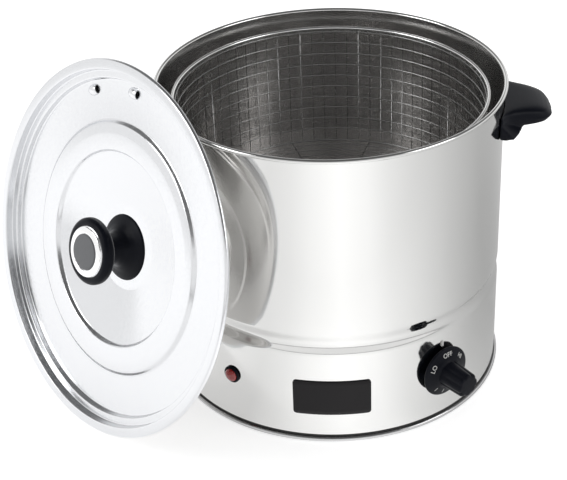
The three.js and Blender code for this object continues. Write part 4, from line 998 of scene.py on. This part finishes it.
def floor():
    """A pale floor with a glow of its own, strongest in front of the steamer."""
    mesh_data = bmesh.new()
    bmesh.ops.create_grid(mesh_data, x_segments=1, y_segments=1, size=FLOOR_HALF)
    mesh = bpy.data.meshes.new("studio_floor")
    mesh_data.to_mesh(mesh)
    mesh_data.free()
    obj = bpy.data.objects.new("studio_floor", mesh)
    bpy.context.scene.collection.objects.link(obj)
    material = bpy.data.materials.new("studio_floor")
    material.use_nodes = True
    tree = material.node_tree
    tree.nodes.clear()
    link = tree.links.new
    output = node(tree, "ShaderNodeOutputMaterial")
    diffuse = node(tree, "ShaderNodeBsdfDiffuse")
    diffuse.inputs["Color"].default_value = (FLOOR_COLOUR, FLOOR_COLOUR, FLOOR_COLOUR, 1)
    glow = node(tree, "ShaderNodeEmission")
    glow.inputs["Color"].default_value = (1, 1, 1, 1)

    # The turn about the steamer's axis, 0.5 in front, less to the left and more to the right
    place = node(tree, "ShaderNodeTexCoord")
    parts = node(tree, "ShaderNodeSeparateXYZ")
    back = node(tree, "ShaderNodeMath", operation="MULTIPLY")
    back.inputs[1].default_value = -1
    turn = node(tree, "ShaderNodeMath", operation="ARCTAN2")
    share = node(tree, "ShaderNodeMapRange")
    share.inputs["From Min"].default_value = -math.pi
    share.inputs["From Max"].default_value = math.pi
    link(place.outputs["Object"], parts.inputs[0])
    link(parts.outputs["Y"], back.inputs[0])
    link(parts.outputs["X"], turn.inputs[0])
    link(back.outputs[0], turn.inputs[1])
    link(turn.outputs[0], share.inputs["Value"])
    level = ramp(tree, [(0.5 + azimuth / 360, shown) for azimuth, shown in FLOOR_LEVELS])
    link(share.outputs["Result"], level.inputs["Fac"])

    # Towards the camera a dark strip crosses the floor, and shows as a band in polished steel
    ahead = node(tree, "ShaderNodeMapRange")
    ahead.inputs["From Max"].default_value = FLOOR_HALF
    strip = ramp(tree, [(distance / FLOOR_HALF, shown) for distance, shown in FLOOR_STRIP])
    link(back.outputs[0], ahead.inputs["Value"])
    link(ahead.outputs["Result"], strip.inputs["Fac"])

    # The camera sees one even level, and polished steel sees the turn and the strip
    path, seen = seen_directly_or_mirrored(tree)
    mirrored = node(tree, "ShaderNodeMath", operation="MULTIPLY")
    chosen = node(tree, "ShaderNodeMix", data_type="FLOAT")
    chosen.inputs[3].default_value = FLOOR_GLOW
    strength = node(tree, "ShaderNodeMath", operation="MULTIPLY")
    link(level.outputs["Color"], mirrored.inputs[0])
    link(strip.outputs["Color"], mirrored.inputs[1])
    link(path.outputs["Is Camera Ray"], chosen.inputs["Factor"])
    link(mirrored.outputs[0], chosen.inputs[2])
    link(chosen.outputs[0], strength.inputs[0])
    link(seen, strength.inputs[1])
    link(strength.outputs[0], glow.inputs["Strength"])
    added = node(tree, "ShaderNodeAddShader")
    link(diffuse.outputs[0], added.inputs[0])
    link(glow.outputs[0], added.inputs[1])
    link(added.outputs[0], output.inputs["Surface"])
    mesh.materials.append(material)


def world():
    """White to the camera. Polished steel mirrors it white low down and dark grey overhead."""
    made = bpy.data.worlds.new("studio")
    bpy.context.scene.world = made
    made.use_nodes = True
    tree = made.node_tree
    tree.nodes.clear()
    link = tree.links.new
    output = node(tree, "ShaderNodeOutputWorld")
    back = node(tree, "ShaderNodeBackground")
    back.inputs["Color"].default_value = (1, 1, 1, 1)
    place = node(tree, "ShaderNodeTexCoord")
    parts = node(tree, "ShaderNodeSeparateXYZ")
    link(place.outputs["Generated"], parts.inputs[0])
    mirrored = ramp(tree, WORLD_STOPS)
    link(parts.outputs["Z"], mirrored.inputs["Fac"])
    path, seen = seen_directly_or_mirrored(tree)
    shown = node(tree, "ShaderNodeMix", data_type="FLOAT")
    shown.inputs[3].default_value = 1
    chosen = node(tree, "ShaderNodeMix", data_type="FLOAT")
    chosen.inputs[2].default_value = WORLD_LIGHT
    link(path.outputs["Is Camera Ray"], shown.inputs["Factor"])
    link(mirrored.outputs["Color"], shown.inputs[2])
    link(seen, chosen.inputs["Factor"])
    link(shown.outputs[0], chosen.inputs[3])
    link(chosen.outputs[0], back.inputs["Strength"])
    link(back.outputs[0], output.inputs["Surface"])


def lamp(name, place, aim, side, power):
    data = bpy.data.lights.new(name, "AREA")
    data.shape = "RECTANGLE"
    data.size = side
    data.size_y = side
    data.energy = power
    obj = bpy.data.objects.new(name, data)
    bpy.context.scene.collection.objects.link(obj)
    obj.location = place
    obj.rotation_euler = (Vector(aim) - Vector(place)).to_track_quat("-Z", "Y").to_euler()
    obj.visible_glossy = name not in UNMIRRORED_LAMPS


def camera():
    data = bpy.data.cameras.new("camera")
    data.sensor_width = SENSOR_WIDTH
    data.lens = FOCAL_LENGTH
    data.clip_start = CAMERA_NEAR
    obj = bpy.data.objects.new("camera", data)
    bpy.context.scene.collection.objects.link(obj)
    yaw, pitch, roll = (math.radians(a) for a in (CAMERA_YAW, CAMERA_PITCH, CAMERA_ROLL))
    forward = Vector((
        math.sin(yaw) * math.cos(pitch),
        math.cos(yaw) * math.cos(pitch),
        -math.sin(pitch),
    ))
    right = forward.cross(Vector((0, 0, 1))).normalized()
    up = right.cross(forward)
    turned_right = right * math.cos(roll) + up * math.sin(roll)
    turned_up = up * math.cos(roll) - right * math.sin(roll)
    turn = Matrix((turned_right, turned_up, -forward)).transposed().to_4x4()
    obj.matrix_world = Matrix.Translation(CAMERA_PLACE) @ turn
    bpy.context.scene.camera = obj


floor()
world()
for values in LAMPS:
    lamp(*values)
camera()
bpy.context.scene.view_settings.view_transform = "Standard"
